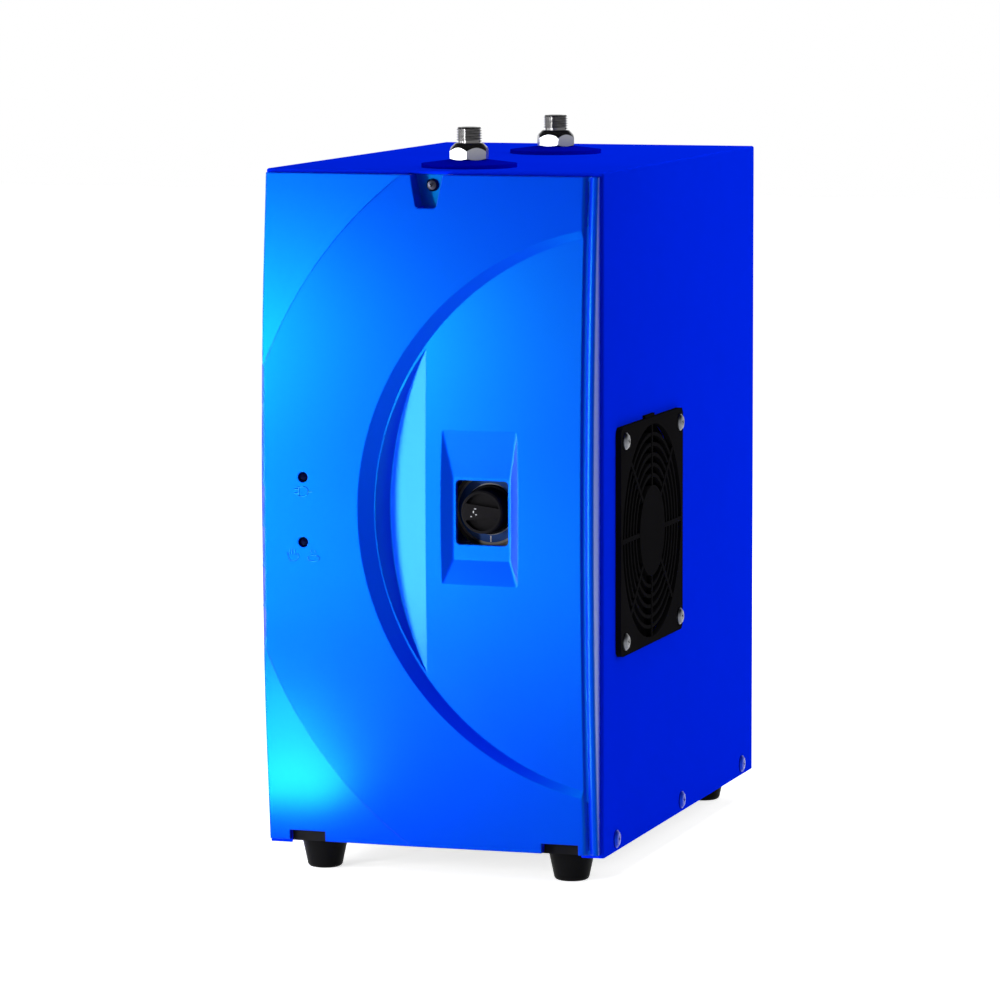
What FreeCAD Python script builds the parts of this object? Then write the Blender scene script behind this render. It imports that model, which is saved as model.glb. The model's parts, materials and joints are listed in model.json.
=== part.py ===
"""Compact water chiller: blue sheet cabinet, moulded front cover, fan, knob and water fittings.

Everything is drawn from the housing's lower front left corner: X to the right, Y to the
back, Z up. Each piece is then placed so that the origin lies under the middle of the
whole object, on the surface it stands on.
"""
import FreeCAD, Part
import math
import os
import re
import Sketcher
from FreeCAD import Placement, Rotation, Vector

os.makedirs("parts", exist_ok=True)
doc = FreeCAD.newDocument("water_chiller")

# Driving dimensions in millimetres, angles in degrees
SIZES = {
    # Cabinet
    "wide": 183, "deep": 302.5, "tall": 355, "sheet": 1, "bend": 1.2,
    "flange": 12, "stand": 15.5, "seat_gap": 0.3,
    # Moulded front cover
    "bulge": 15, "bow": 9.5, "cover_side": 0.9, "cover_right": 1.6, "cover_top": 2, "cover_wall": 2.5,
    "cover_edge": 2.5, "border_round": 1.5,
    "arc_height": 179, "facet_out": 25.4, "facet_radius": 218.6, "facet_drop": 2.6,
    "step_out": 21.3, "step_radius": 150, "panel_out": 25.3, "panel_radius": 146.7,
    "panel_tilt": 2.5, "panel_drop": 0.8,
    "groove_in": 9.6, "groove_wide": 5.7, "groove_depth": 2.4, "border_drop": 0.9,
    "crease_right": 93, "scoop_tilt": 20.5, "scoop_depth": 8, "scoop_run": 7,
    "scoop_half_tall": 84,
    "recess_wide": 42.6, "recess_before": 21.7, "recess_below": 39.6, "recess_tall": 86.8,
    "recess_depth": 3.6, "recess_side": 5.5, "recess_sill": 14.6, "recess_head": 29.4,
    "recess_corner": 2.5, "recess_foot": 2,
    "window_wide": 28.6, "window_tall": 33.5, "window_corner": 2.3, "window_drop": 0.5,
    "pocket_left": 0.4, "pocket_wide": 18.4, "pocket_narrow": 11, "pocket_tall": 17.2,
    "pocket_depth": 5, "notch_wide": 20, "notch_x": 12, "notch_tall": 5.3,
    "light_x": 24.4, "light_up": 195.5, "light_low": 161.5, "light_hole": 5.4,
    "screw_radius": 1.75, "screw_drop": 7.7, "post_radius": 3, "post_out": 11,
    "board_back": 4.6, "board_thick": 1.6, "board_wide": 18,
    # Knob, dial and thermostat
    "knob_right": 63, "knob_up": 179.5, "knob_front": 9.4, "knob_back": 6.6, "knob_radius": 11.2,
    "skirt_radius": 13, "skirt_thick": 3, "dial_radius": 20.6,
    "dial_thick": 1.5, "bracket_back": 8.4,
    # Fan and guard
    "fan_size": 120, "fan_y": 82, "fan_up": 162, "fan_pitch": 105, "fan_depth": 25,
    "guard_thick": 3, "guard_hub": 24, "guard_open": 56.6, "ring_count": 6,
    "rib": 1.9, "spoke": 2.4, "fan_bore": 57.5, "hub_radius": 21, "tip_gap": 1.5,
    "blade_pitch": 32, "blades": 7, "guard_corner": 4, "tab_wide": 18, "tab_tall": 1.7,
    "grip": 9.6, "grip_tip": 3.8, "grip_depth": 2.4, "shaft_radius": 3, "bracket_lap": 19, "thermostat_round": 3,
    "outlet_turn": -20, "inlet_turn": -6, "motor_seat": 3.5, "pin_radius": 1.5, "pin_gap": 0.08, "rotor_gap": 1,
    # Water fittings and grommets
    "port_x": 98.5, "port_front": 39, "port_rear": 195, "grommet_radius": 25,
    "grommet_rim": 2, "grommet_crown": 3.8, "grommet_hole": 12,
    "hex_flats": 19, "hex_tall": 5.5, "hex_dome": 3.3, "hex_foot": 0.9, "thread_radius": 6.58,
    "thread_long": 8.2, "bore_radius": 4,
    # Feet and tray
    "foot_x": 23.3, "foot_y": 20.5, "foot_top": 12.4, "foot_bottom": 8.9, "foot_round": 2.4,
    "tray_up": 1, "tray_sheet": 1.2, "tray_lip": 13,
    # Screws
    "side_head": 4.7, "side_tall": 2, "side_shank": 1.95, "side_long": 8, "side_up": 6.5,
    "side_first": 23, "side_last": 25, "rail_sheet": 1.2, "rail_leg": 16, "rail_drop": 26,
    "rail_wide": 60,
    # Back panel, power inlet and junction box
    "panel_thick": 1, "slot_wide": 58, "slot_tall": 4, "slot_pitch": 9, "slot_rows": 14,
    "slot_low": 150, "inlet_x": 40, "inlet_up": 75, "inlet_wide": 27, "inlet_tall": 19.8,
    "inlet_deep": 22, "inlet_flange_wide": 50, "inlet_flange_tall": 23, "inlet_flange": 2.4, "inlet_round": 3, "inlet_head": 2.2,
    "box_wide": 60, "box_deep": 34, "box_tall": 46,
    # Refrigeration
    "fin_deep": 18, "fin_front": 26, "fin_rows": 8, "fin_pitch": 14.4, "fin_grooves": 15,
    "pipe": 3.5, "pipe_wall": 0.8, "capillary": 1.2, "suction": 4, "slack": 0.05,
    "shell_right": 83, "shell_back": 66, "shell_radius": 50, "shell_tall": 110, "shell_round": 14,
    "mount_x": 40, "mount_y": 50, "mount_tall": 13, "mount_radius": 8, "mount_plate": 2.5,
    "discharge_run": 28, "suction_left": 30, "suction_before": 13,
    "drier_run": 23, "drier_behind": 16, "drier_radius": 9, "drier_long": 80, "drier_up": 160,
    # Tank and its foam
    "tank_x": 58, "tank_y": 92, "tank_radius": 36, "tank_up": 66, "tank_room": 93,
    "foam_out": 10, "stub_x": 12, "stub_y": 13,
    "hose_radius": 7, "hose_bore": 5.1, "hose_bend": 12, "barb_low": 32,
    "board_screw": 1.25, "light_radius": 2.5,
}

# Sizes and places that follow from the ones above
FOLLOWING = {
    "knob_x": "wide - knob_right",
    "crease": "wide - crease_right",
    "pocket_x": "crease - pocket_left",
    "facet_centre": "wide + facet_out",
    "step_centre": "wide + step_out",
    "panel_centre": "wide + panel_out",
    "window_up": "knob_up - window_drop",
    "recess_left": "knob_x - recess_before",
    "recess_low": "knob_up - recess_below",
    "bracket_reach": "wide - sheet - 1 - bracket_lap",
    "pipe_x": "wide - sheet - fan_depth - fin_deep / 2",
    "fin_back": "fan_y + fan_size / 2 + 2",
    "shell_x": "wide - shell_right",
    "shell_y": "deep - shell_back",
    "discharge_x": "pipe_x - discharge_run",
    "suction_x": "shell_x - suction_left",
    "suction_y": "shell_y - suction_before",
    "drier_x": "pipe_x - drier_run",
    "drier_y": "fin_back + drier_behind",
    "tank_tall": "tall - tank_up - tank_room",
    "stub_tall": "0.28 * tank_room",
    "suction_level": "tall - 0.73 * tank_room",
    "capillary_level": "tall - 0.66 * tank_room",
    "hose_level": "tall - 0.55 * tank_room",
}

sheet = doc.addObject("Spreadsheet::Sheet", "sizes")
for row, (alias, value) in enumerate(SIZES.items(), start=1):
    sheet.set(f"A{row}", str(value))
    sheet.setAlias(f"A{row}", alias)
for row, (alias, formula) in enumerate(FOLLOWING.items(), start=1):
    sheet.set(f"B{row}", f"={formula}")
    sheet.setAlias(f"B{row}", alias)
doc.recompute()


def size(alias):
    """The value of one cell of the sheet."""
    return float(sheet.get(alias))


def bound(expression):
    """The expression with each alias written as a cell of the sheet."""
    def cell(match):
        word = match.group(0)
        return f"sizes.{word}" if word in SIZES or word in FOLLOWING else word
    return re.sub(r"[a-z][a-z_0-9]*", cell, str(expression))


def bind(item, **expressions):
    """Drive properties of an object, such as Length, by expressions of the sheet's aliases."""
    for name, expression in expressions.items():
        item.setExpression(name, bound(expression))


def place(item, at, turn=None):
    """Set where an object stands, by expressions, and how it is turned."""
    if turn is not None:
        item.Placement = Placement(Vector(0, 0, 0), turn)
    for axis, expression in zip("xyz", at):
        item.setExpression(f"Placement.Base.{axis}", bound(expression))
    return item


ALONG_X = Rotation(Vector(0, 1, 0), 90)
ALONG_Y = Rotation(Vector(1, 0, 0), -90)


def box(name, long, deep, high, at):
    item = doc.addObject("Part::Box", name)
    bind(item, Length=long, Width=deep, Height=high)
    return place(item, at)


def cylinder(name, radius, high, at, turn=None):
    item = doc.addObject("Part::Cylinder", name)
    bind(item, Radius=radius, Height=high)
    return place(item, at, turn)


def cone(name, low, top, high, at, turn=None):
    item = doc.addObject("Part::Cone", name)
    bind(item, Radius1=low, Radius2=top, Height=high)
    return place(item, at, turn)


def cut(name, base, tool):
    item = doc.addObject("Part::Cut", name)
    item.Base = base
    item.Tool = tool
    return item


def common(name, base, tool):
    item = doc.addObject("Part::Common", name)
    item.Base = base
    item.Tool = tool
    return item


def fuse(name, pieces):
    item = doc.addObject("Part::MultiFuse", name)
    item.Shapes = pieces
    item.Refine = False
    return item


def group(name, pieces):
    """Separate solids that share one node."""
    item = doc.addObject("Part::Compound", name)
    item.Links = pieces
    return item


def rounded(name, base, radius, chosen):
    """Fillet the edges of a shape that a test chooses."""
    doc.recompute()
    item = doc.addObject("Part::Fillet", name)
    item.Base = base
    edges = base.Shape.Edges
    item.Edges = [(i + 1, size(radius), size(radius)) for i, e in enumerate(edges) if chosen(e)]
    return item


def outline(name, corners, at=("0", "0", "0"), turn=None):
    """A closed sketch through corners given as pairs of expressions."""
    item = doc.addObject("Sketcher::SketchObject", name)
    count = len(corners)
    for i in range(count):
        start, end = Vector(i, i * i, 0), Vector(i + 1, (i + 1) ** 2, 0)
        item.addGeometry(Part.LineSegment(start, end))
    for i in range(count):
        item.addConstraint(Sketcher.Constraint("Coincident", i, 2, (i + 1) % count, 1))
    for i, corner in enumerate(corners):
        for kind, expression in zip(("DistanceX", "DistanceY"), corner):
            index = item.addConstraint(Sketcher.Constraint(kind, -1, 1, i, 1, 1.0))
            item.setExpression(f"Constraints[{index}]", bound(expression))
    return place(item, at, turn)


def revolve(name, corners, at=("0", "0", "0"), turn=None, axis=(0, 1, 0), degrees=360):
    """A closed outline turned about an axis through its origin."""
    item = doc.addObject("Part::Revolution", name)
    item.Source = outline(name + "_section", corners)
    item.Axis = Vector(*axis)
    item.Angle = degrees
    item.Symmetric = degrees < 360
    item.Solid = True
    return place(item, at, turn)


def extrude(name, section, along, length):
    """A sketch pushed along a direction."""
    item = doc.addObject("Part::Extrusion", name)
    item.Base = section
    item.DirMode = "Custom"
    item.Dir = Vector(*along)
    item.Solid = True
    bind(item, LengthFwd=length)
    return item


PARTS = []


def part(item, label):
    """Note a finished piece; one that stands by its own placement is wrapped, so it can be moved."""
    if item.TypeId == "Part::Revolution":
        item = group(f"{label}_piece", [item])
    item.Label = label
    PARTS.append(item)
    return item


# The cover's bowed face: a cylinder lying along X, tangent at mid height to the plane
# that stands a bulge in front of the housing
BOW_RADIUS = "((tall ^ 2 / 4 + bow ^ 2) / (2 * bow))"
bow_radius = (size("tall") ** 2 / 4 + size("bow") ** 2) / (2 * size("bow"))
middle = size("tall") / 2


def face_y(z, back=0):
    """Y of the bowed face, or of one set back from it, at a height."""
    centre = bow_radius - size("bulge")
    return centre - math.sqrt((bow_radius - back) ** 2 - (z - middle) ** 2)


# The inner panel's face is the same bow turned about the vertical, nearly flush at the
# border groove and deeper towards the scoop
panel_turn = math.radians(size("panel_tilt"))
panel_x = size("wide") - size("groove_in")
panel_y = -size("bulge") + size("panel_drop")


def panel_face_y(x, z, back=0):
    """Y of the inner panel's face, or of one set back from it, at a place."""
    sink = bow_radius - math.sqrt(bow_radius ** 2 - (z - middle) ** 2)
    return panel_y + (panel_x - x) * math.tan(panel_turn) + (sink + back) / math.cos(panel_turn)


def bowed_solid(name, radius, tilt, through_x, through_y, reach=400):
    """All that lies behind a bow whose surface line leans by a tilt from X."""
    item = doc.addObject("Part::Cylinder", name)
    item.Radius = radius
    item.Height = 2 * reach
    lean = math.radians(tilt)
    start = Vector(through_x - reach * math.cos(lean), through_y + reach * math.sin(lean), middle)
    centre = start + Vector(math.sin(lean), math.cos(lean), 0) * radius
    turn = Rotation(Vector(0, 0, 1), -tilt).multiply(ALONG_X)
    item.Placement = Placement(centre, turn)
    return item


def front_cover():
    side, top, wall = "cover_side", "cover_top", "cover_wall"
    inside = f"wide - {side} - cover_right"

    # Bowed block with its left edge rounded
    block = box("cover_block", inside, "bulge + 1", f"tall - 2 * {top}",
                (side, "-bulge - 1", top))
    bow = cylinder("cover_bow", BOW_RADIUS, "wide",
                   ("0", f"{BOW_RADIUS} - bulge", "tall / 2"), ALONG_X)
    bowed = common("cover_bowed", block, bow)
    left = size(side)
    base = rounded("cover_soft", bowed, "cover_edge",
                   lambda e: e.Length > middle and abs(e.CenterOfMass.x - left) < 0.01
                   and e.CenterOfMass.y < -1)

    # Border groove, soft on both sides, and the lower border strip with its rounded edge
    face = f"-{BOW_RADIUS}"
    edge = "wide - cover_right"
    groove = revolve("cover_groove", [("wide - groove_in", f"{face} - 2")] + [
        (f"wide - groove_in + {run} * groove_wide", f"{face} + {drop} * groove_depth")
        for run, drop in ((0, 0), (0.09, 0.07), (0.21, 0.32), (0.33, 0.71), (0.42, 0.94), (0.51, 1),
                          (0.63, 0.91), (0.81, 0.6), (0.91, 0.45))
    ] + [
        ("wide - groove_in + groove_wide", f"{face} + border_drop"),
        (f"{edge} - border_round", f"{face} + 1.1 * border_drop"),
        (f"{edge} - border_round / 2", f"{face} + 1.1 * border_drop + 0.13 * border_round"),
        (f"{edge} - 0.13 * border_round", f"{face} + 1.1 * border_drop + border_round / 2"),
        (edge, f"{face} + 1.1 * border_drop + border_round"),
        ("wide", f"{face} + 1.1 * border_drop + border_round"),
        ("wide", f"{face} - 2"),
    ], ("0", f"{BOW_RADIUS} - bulge", "tall / 2"), axis=(1, 0, 0), degrees=14)

    # Corner facets: flat planes outside the large arc, with a step on the arc
    cutters = [groove] + [corner_facet("cover", word) for word in ("upper", "lower")]

    # Inner panel, cut down to its own tilted bow inside the small arc
    panel = bowed_solid("cover_panel_bow", bow_radius, size("panel_tilt"), panel_x, panel_y)
    disc = cylinder("cover_panel_disc", "panel_radius - 0.5", "2 * bulge",
                    ("panel_centre", "-2 * bulge", "arc_height"), ALONG_Y)
    limit = box("cover_panel_limit", "wide", "3 * bulge", "tall",
                ("0.45 * groove_wide - groove_in - 1", "-2 * bulge", "0"))
    cutters.append(cut("cover_panel_cut", common("cover_panel_part", disc, limit), panel))

    # Sloping step round the panel, lofted through sections along the arc
    cutters.append(step_cutter())

    # Finger scoop: a cone's wall on the arc's side and a bow that climbs to the crease
    crease = size("crease")
    mouth_y = panel_face_y(size("panel_centre") - size("panel_radius"), middle)
    floor_tilt = size("scoop_tilt")
    floor_radius = bow_radius * math.cos(panel_turn) / math.cos(math.radians(floor_tilt))
    floor = bowed_solid("scoop_floor", floor_radius, floor_tilt,
                        crease, panel_face_y(crease, middle))
    flare = size("scoop_run") / size("scoop_depth")
    mouth = size("panel_radius") - 0.5
    wall_cone = doc.addObject("Part::Cone", "scoop_wall")
    front_y, back_y = mouth_y - 10, 5
    wall_cone.Radius1 = mouth + flare * (mouth_y - front_y)
    wall_cone.Radius2 = mouth - flare * (back_y - mouth_y)
    wall_cone.Height = back_y - front_y
    wall_cone.Placement = Placement(Vector(size("panel_centre"), front_y, size("arc_height")), ALONG_Y)
    mouth_disc = cylinder("scoop_mouth", "panel_radius - 0.6", "3 * bulge",
                          ("panel_centre", "-2 * bulge", "arc_height"), ALONG_Y)
    bowl = common("scoop_bowl", wall_cone, mouth_disc)
    half = box("scoop_half", "crease + 0.5", "3 * bulge", "tall", ("0", "-2 * bulge", "0"))
    cutters.append(cut("scoop_cut", common("scoop_part", bowl, half), floor))

    # Recess round the knob window, sunk square to the tilted panel
    recess = doc.addObject("Part::Wedge", "recess_cut")
    tilt = Rotation(Vector(0, 0, 1), -size("panel_tilt"))
    recess_y = panel_face_y(size("recess_left"), size("arc_height"))
    front = 3
    depth = size("recess_depth")
    spread = front / depth
    side_run, sill, head = size("recess_side"), size("recess_sill"), size("recess_head")
    long, high = size("recess_wide"), size("recess_tall")
    recess.Ymin, recess.Ymax = -front, depth
    recess.Xmin, recess.Xmax = -side_run * spread, long + side_run * spread
    recess.Zmin, recess.Zmax = -sill * spread, high + head * spread
    recess.X2min, recess.X2max = side_run, long - side_run
    recess.Z2min, recess.Z2max = sill, high - head
    recess.Placement = Placement(Vector(size("recess_left"), recess_y, size("recess_low")), tilt)
    across = tilt.multVec(Vector(0, 1, 0))
    corners = rounded("recess_corners", recess, "recess_corner",
                      lambda e: abs(e.tangentAt(e.FirstParameter).dot(across)) > 0.05)
    mouth_line = recess.Placement.Base.dot(across)
    cutters.append(rounded("recess_whole", corners, "recess_foot",
                           lambda e: abs(e.CenterOfMass.dot(across) - mouth_line - depth) < 0.01))
    window = box("window_block", "window_wide", "2 * bulge", "window_tall",
                 ("knob_x - window_wide / 2", "-2 * bulge", "window_up - window_tall / 2"))
    cutters.append(rounded("window_cut", window, "window_corner",
                           lambda e: abs(e.tangentAt(e.FirstParameter).y) > 0.9))

    # Screw pocket, wider at the top, and the two notches at the bottom
    pocket_low = "tall - cover_top - pocket_tall"
    pocket = extrude("pocket_block", outline("pocket_outline", [
        ("pocket_x - pocket_narrow / 2", pocket_low),
        ("pocket_x + pocket_narrow / 2", pocket_low),
        ("pocket_x + pocket_wide / 2", "tall - cover_top + 1"),
        ("pocket_x - pocket_wide / 2", "tall - cover_top + 1"),
    ], ("0", "pocket_depth", "0"), Rotation(Vector(1, 0, 0), 90)), (0, -1, 0), "pocket_depth + 2 * bulge")
    cutters.append(rounded("pocket_cut", pocket, "window_corner",
                           lambda e: abs(e.tangentAt(e.FirstParameter).y) > 0.9
                           and e.CenterOfMass.z < size("tall") - 10))
    for word, start in (("left", "notch_x"), ("right", "wide - notch_x - notch_wide")):
        cutters.append(box(f"cover_notch_{word}", "notch_wide", "2 * bulge", "cover_top + notch_tall",
                           (start, "-2 * bulge", "0")))
    for word, up in (("upper", "light_up"), ("lower", "light_low")):
        cutters.append(cylinder(f"cover_light_{word}", "light_hole / 2", "3 * bulge",
                                ("light_x", "-2 * bulge", up), ALONG_Y))
    cutters.append(cylinder("cover_screw_hole", "screw_radius + 0.2", "bulge",
                            ("pocket_x", "0", "tall - screw_drop"), ALONG_Y))
    cutters.append(cover_hollow(floor_radius))

    tub_low = f"{pocket_low} - {wall}"
    tub = box("pocket_tub", f"pocket_wide + 2 * {wall}", f"pocket_depth + {wall} + bulge / 3",
              f"tall - {top} - ({tub_low})",
              (f"pocket_x - pocket_wide / 2 - {wall}", "-bulge / 3", tub_low))
    post_start = f"-bulge + {wall} / 2 + 0.4"
    posts = [cylinder(f"board_post_{word}", "post_radius", f"-board_back - ({post_start})",
                      ("light_x", post_start, up), ALONG_Y)
             for word, up in board_post_places()]
    for tool in cutters:
        base = cut(tool.Name + "_done", base, tool)
        if tool.Label == "cover_hollow":
            base = fuse("cover_whole", [base] + posts)
            holes = [cylinder(f"board_post_hole_{word}", "board_screw + slack", "5",
                              ("light_x", "-board_back - 4.5", up), ALONG_Y)
                     for word, up in board_post_places()]
            base = cut("cover_post_holes", base, fuse("board_post_holes", holes))
        if tool.Name == "step_cut":
            base = fuse("cover_with_tub", [base, tub])
    return part(base, "front_cover")


def corner_facet(prefix, word, back=0):
    """What lies outside the large arc and in front of a plane that leans back to a corner."""
    way = 1 if word == "upper" else -1
    arc_x, arc_z = size("facet_centre"), size("arc_height")
    edge_z = arc_z + way * math.sqrt(size("facet_radius") ** 2 - arc_x ** 2)
    end_z = middle + way * middle
    end_x = arc_x - math.sqrt(size("facet_radius") ** 2 - (end_z - arc_z) ** 2)
    first = Vector(0, face_y(edge_z), edge_z)
    second = Vector(end_x, face_y(end_z), end_z)
    corner = Vector(0, face_y(end_z) + size("facet_drop"), end_z)
    normal = (second - first).cross(corner - first).normalize()
    if normal.y > 0:
        normal = -normal
    reach = 2 * size("tall")
    facet = doc.addObject("Part::Plane", f"{prefix}_{word}_facet")
    facet.Length = reach
    facet.Width = reach
    turn = Rotation(Vector(0, 0, 1), normal)
    centre = corner - normal * back - turn.multVec(Vector(reach / 2, reach / 2, 0))
    facet.Placement = Placement(centre, turn)
    slab = extrude(f"{prefix}_{word}_slab", facet, normal, "3 * bulge")
    arc = cylinder(f"{prefix}_{word}_arc", f"facet_radius - {back}", "3 * bulge",
                   ("facet_centre", "-2 * bulge", "arc_height"), ALONG_Y)
    outside = cut(f"{prefix}_{word}_outside", slab, arc)
    half = box(f"{prefix}_{word}_half", "facet_centre", "3 * bulge", "tall / 2",
               ("-1", "-2 * bulge", "tall / 2" if way > 0 else "0"))
    return common(f"{prefix}_{word}_cut", outside, half)


def board_post_places():
    """Height of the two posts behind the lights."""
    return [("upper", "light_up + post_out"), ("lower", "light_low - post_out")]


def cover_hollow(floor_radius):
    """Room behind the shell, kept clear of the panel, scoop, recess, pocket and notches."""
    wall, side, top = "cover_wall", "cover_side", "cover_top"
    room = box("hollow_room", f"wide - {side} - cover_right - 2 * {wall}", "2 * bulge",
               f"tall - 2 * ({top} + {wall})", (f"{side} + {wall}", "-2 * bulge", f"{top} + {wall}"))
    behind = cylinder("hollow_bow", f"{BOW_RADIUS} - {wall}", "wide",
                      ("0", f"{BOW_RADIUS} - bulge", "tall / 2"), ALONG_X)
    hollow = common("hollow_outer", room, behind)
    thick = size("cover_wall")
    panel = bowed_solid("hollow_panel_bow", bow_radius, size("panel_tilt"), panel_x, panel_y)
    panel.Radius = bow_radius - thick
    disc = cylinder("hollow_panel_disc", f"step_radius + {wall} / 2", "3 * bulge",
                    ("step_centre", "-2 * bulge", "arc_height"), ALONG_Y)
    keep = [cut("hollow_panel_keep", disc, panel)]
    floor = bowed_solid("hollow_scoop_floor", floor_radius, size("scoop_tilt"),
                        size("crease"), panel_face_y(size("crease"), middle))
    floor.Radius = floor_radius - thick
    half = box("hollow_scoop_half", f"crease + {wall} - 50", "2 * bulge",
               "2 * (scoop_half_tall + cover_wall)",
               ("50", "-2 * bulge", "arc_height - scoop_half_tall - cover_wall"))
    keep.append(cut("hollow_scoop_keep", half, floor))
    deepest = panel_face_y(size("recess_left"), size("arc_height")) + size("recess_depth") + thick
    keep.append(box("hollow_recess_keep", f"recess_wide + 2 * {wall}", f"2 * bulge + {deepest}",
                    f"recess_tall + 2 * {wall}",
                    (f"recess_left - {wall}", "-2 * bulge", f"recess_low - {wall}")))
    keep.append(box("hollow_pocket_keep", f"pocket_wide + 2 * {wall}", "3 * bulge",
                    f"pocket_tall + {top} + {wall} + 1",
                    (f"pocket_x - pocket_wide / 2 - {wall}", "-2 * bulge",
                     f"tall - {top} - pocket_tall - {wall}")))
    for word, start in (("left", "notch_x"), ("right", "wide - notch_x - notch_wide")):
        keep.append(box(f"hollow_notch_{word}", f"notch_wide + 2 * {wall}", "3 * bulge",
                        f"notch_tall + {top} + {wall}", (f"{start} - {wall}", "-2 * bulge", "0")))
    keep += [corner_facet("hollow", word, thick) for word in ("upper", "lower")]
    for tool in keep:
        hollow = cut(tool.Name + "_off", hollow, tool)
    hollow.Label = "cover_hollow"
    return hollow


def step_cutter():
    """Wedge that slopes from the outer face at the outer arc to the panel at the inner arc."""
    first, last, count = 98, 262, 13
    sections = []
    lift = 0.7
    for i in range(count):
        angle = math.radians(first + (last - first) * i / (count - 1))
        away = Vector(math.cos(angle), 0, math.sin(angle))
        outer = Vector(size("step_centre"), 0, size("arc_height")) + away * size("step_radius")
        inner = Vector(size("panel_centre"), 0, size("arc_height")) + away * size("panel_radius")
        run = (outer - inner).normalize()
        outer.y = face_y(outer.z)
        inner.y = panel_face_y(inner.x, inner.z)
        slope = (outer - inner)
        slope.multiply(1 / math.hypot(slope.x, slope.z))
        top = outer + slope * lift
        shelf = inner - run * 2
        shelf.y = panel_face_y(shelf.x, shelf.z) - 0.04
        front = -size("bulge") - 6
        corners = [top, inner, shelf, Vector(shelf.x, front, shelf.z), Vector(top.x, front, top.z)]
        sections.append(Part.makePolygon(corners + [corners[0]]))
    item = doc.addObject("Part::Feature", "step_cut")
    item.Shape = Part.makeLoft(sections, True, False)
    return item


# Rotation that stands a section drawn in X and Y up, so that its Y becomes height
STAND_UP = Rotation(Vector(1, 0, 0), 90)


def pan_screw(name, at, turn, head, tall, shank, long):
    """Domed screw: the head's seat lies at the given place and the shank points back from it."""
    return revolve(name, [
        ("0", f"-({long})"), (shank, f"-({long})"), (shank, "0"), (head, "0"),
        (head, f"0.35 * ({tall})"), (f"0.72 * ({head})", f"0.85 * ({tall})"), ("0", tall),
    ], at, turn)


# Turns that point a screw's head to the right, the left, the front, the back and downwards
HEAD_RIGHT = Rotation(Vector(0, 0, 1), -90)
HEAD_LEFT = Rotation(Vector(0, 0, 1), 90)
HEAD_FRONT = Rotation(Vector(0, 0, 1), 180)
HEAD_BACK = Rotation()
HEAD_DOWN = Rotation(Vector(1, 0, 0), -90)


def side_places():
    """Y of the three screws in each side."""
    return ["side_first", "(side_first + deep - side_last) / 2", "deep - side_last"]


def fan_holes():
    """Y and Z of the fan's four screws."""
    half = "fan_pitch / 2"
    return [(f"fan_y {a} {half}", f"fan_up {b} {half}") for a in "+-" for b in "+-"]


def panel_screw_places():
    """X and Z of the back panel's screws, on the housing's flanges."""
    return [(x, z) for x in ("flange / 2", "wide - flange / 2")
            for z in ("tall * 0.06", "tall * 0.5", "tall * 0.94")]


def housing():
    """Folded wrapper of top and two sides, with flanges turned in at the front and the back."""
    outer = box("wrapper_outer", "wide", "deep", "tall", ("0", "0", "0"))
    folds = rounded("wrapper_folds", outer, "bend", lambda e: e.CenterOfMass.z > 1)
    inner = box("wrapper_inner", "wide - 2 * sheet", "deep - 2 * sheet", "tall", ("sheet", "sheet", "-sheet"))
    piece = cut("wrapper_shell", folds, inner)
    tools = []
    for word, y in (("front", "-sheet"), ("back", "deep - 2 * sheet")):
        tools.append(box(f"wrapper_{word}_mouth", "wide - 2 * flange", "3 * sheet", "tall - flange + 1",
                         ("flange", y, "-1")))
    tools.append(box("wrapper_tub_notch", "pocket_wide + 2 * (cover_wall + seat_gap)", "3 * sheet",
                     "flange", ("pocket_x - pocket_wide / 2 - cover_wall - seat_gap", "-sheet",
                                "tall - cover_top + seat_gap - flange")))
    tools.append(cylinder("wrapper_fan_mouth", "fan_bore", "3 * sheet",
                          ("wide - 2 * sheet", "fan_y", "fan_up"), ALONG_X))
    for i, (y, z) in enumerate(fan_holes()):
        tools.append(cylinder(f"wrapper_fan_hole_{i}", "2.3", "3 * sheet", ("wide - 2 * sheet", y, z), ALONG_X))
    for side, x in (("left", "-sheet"), ("right", "wide - 2 * sheet")):
        for i, y in enumerate(side_places()):
            tools.append(cylinder(f"wrapper_{side}_hole_{i}", "side_shank + 0.2", "3 * sheet",
                                  (x, y, "side_up"), ALONG_X))
    for word in ("front", "rear"):
        tools.append(cylinder(f"wrapper_port_{word}", "grommet_hole", "3 * sheet",
                              ("port_x", f"port_{word}", "tall - 2 * sheet")))
    for i, (x, z) in enumerate(panel_screw_places()):
        tools.append(cylinder(f"wrapper_panel_hole_{i}", "side_shank + 0.05", "3 * sheet",
                              (x, "deep - 2 * sheet", z), ALONG_Y))
    return part(cut("wrapper", piece, fuse("wrapper_holes", tools)), "housing")


def base_tray():
    """Folded floor with a lip all round, inside the housing's lower edge."""
    inset = "sheet + 0.2"
    outer = box("tray_outer", f"wide - 2 * ({inset})", f"deep - 2 * ({inset})", "tray_lip",
                (inset, inset, "tray_up"))
    edges = f"{inset} + tray_sheet"
    inner = box("tray_inner", f"wide - 2 * ({edges})", f"deep - 2 * ({edges})", "tray_lip",
                (edges, edges, "tray_up + tray_sheet"))
    piece = cut("tray_pan", outer, inner)
    tools = []
    for side, x in (("left", "0"), ("right", "wide - 5 * sheet")):
        for i, y in enumerate(side_places()):
            tools.append(cylinder(f"tray_{side}_hole_{i}", "side_shank + 0.05", "5 * sheet",
                                  (x, y, "side_up"), ALONG_X))
    for i, (x, y) in enumerate(foot_places()):
        tools.append(cylinder(f"tray_foot_hole_{i}", "2.1", "3 * tray_sheet", (x, y, "tray_up - tray_sheet")))
    for i, (x, y) in enumerate(mount_places()):
        tools.append(cylinder(f"tray_mount_hole_{i}", "3.1", "3 * tray_sheet", (x, y, "tray_up - tray_sheet")))
    return part(cut("tray", piece, fuse("tray_holes", tools)), "base_tray")


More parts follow.
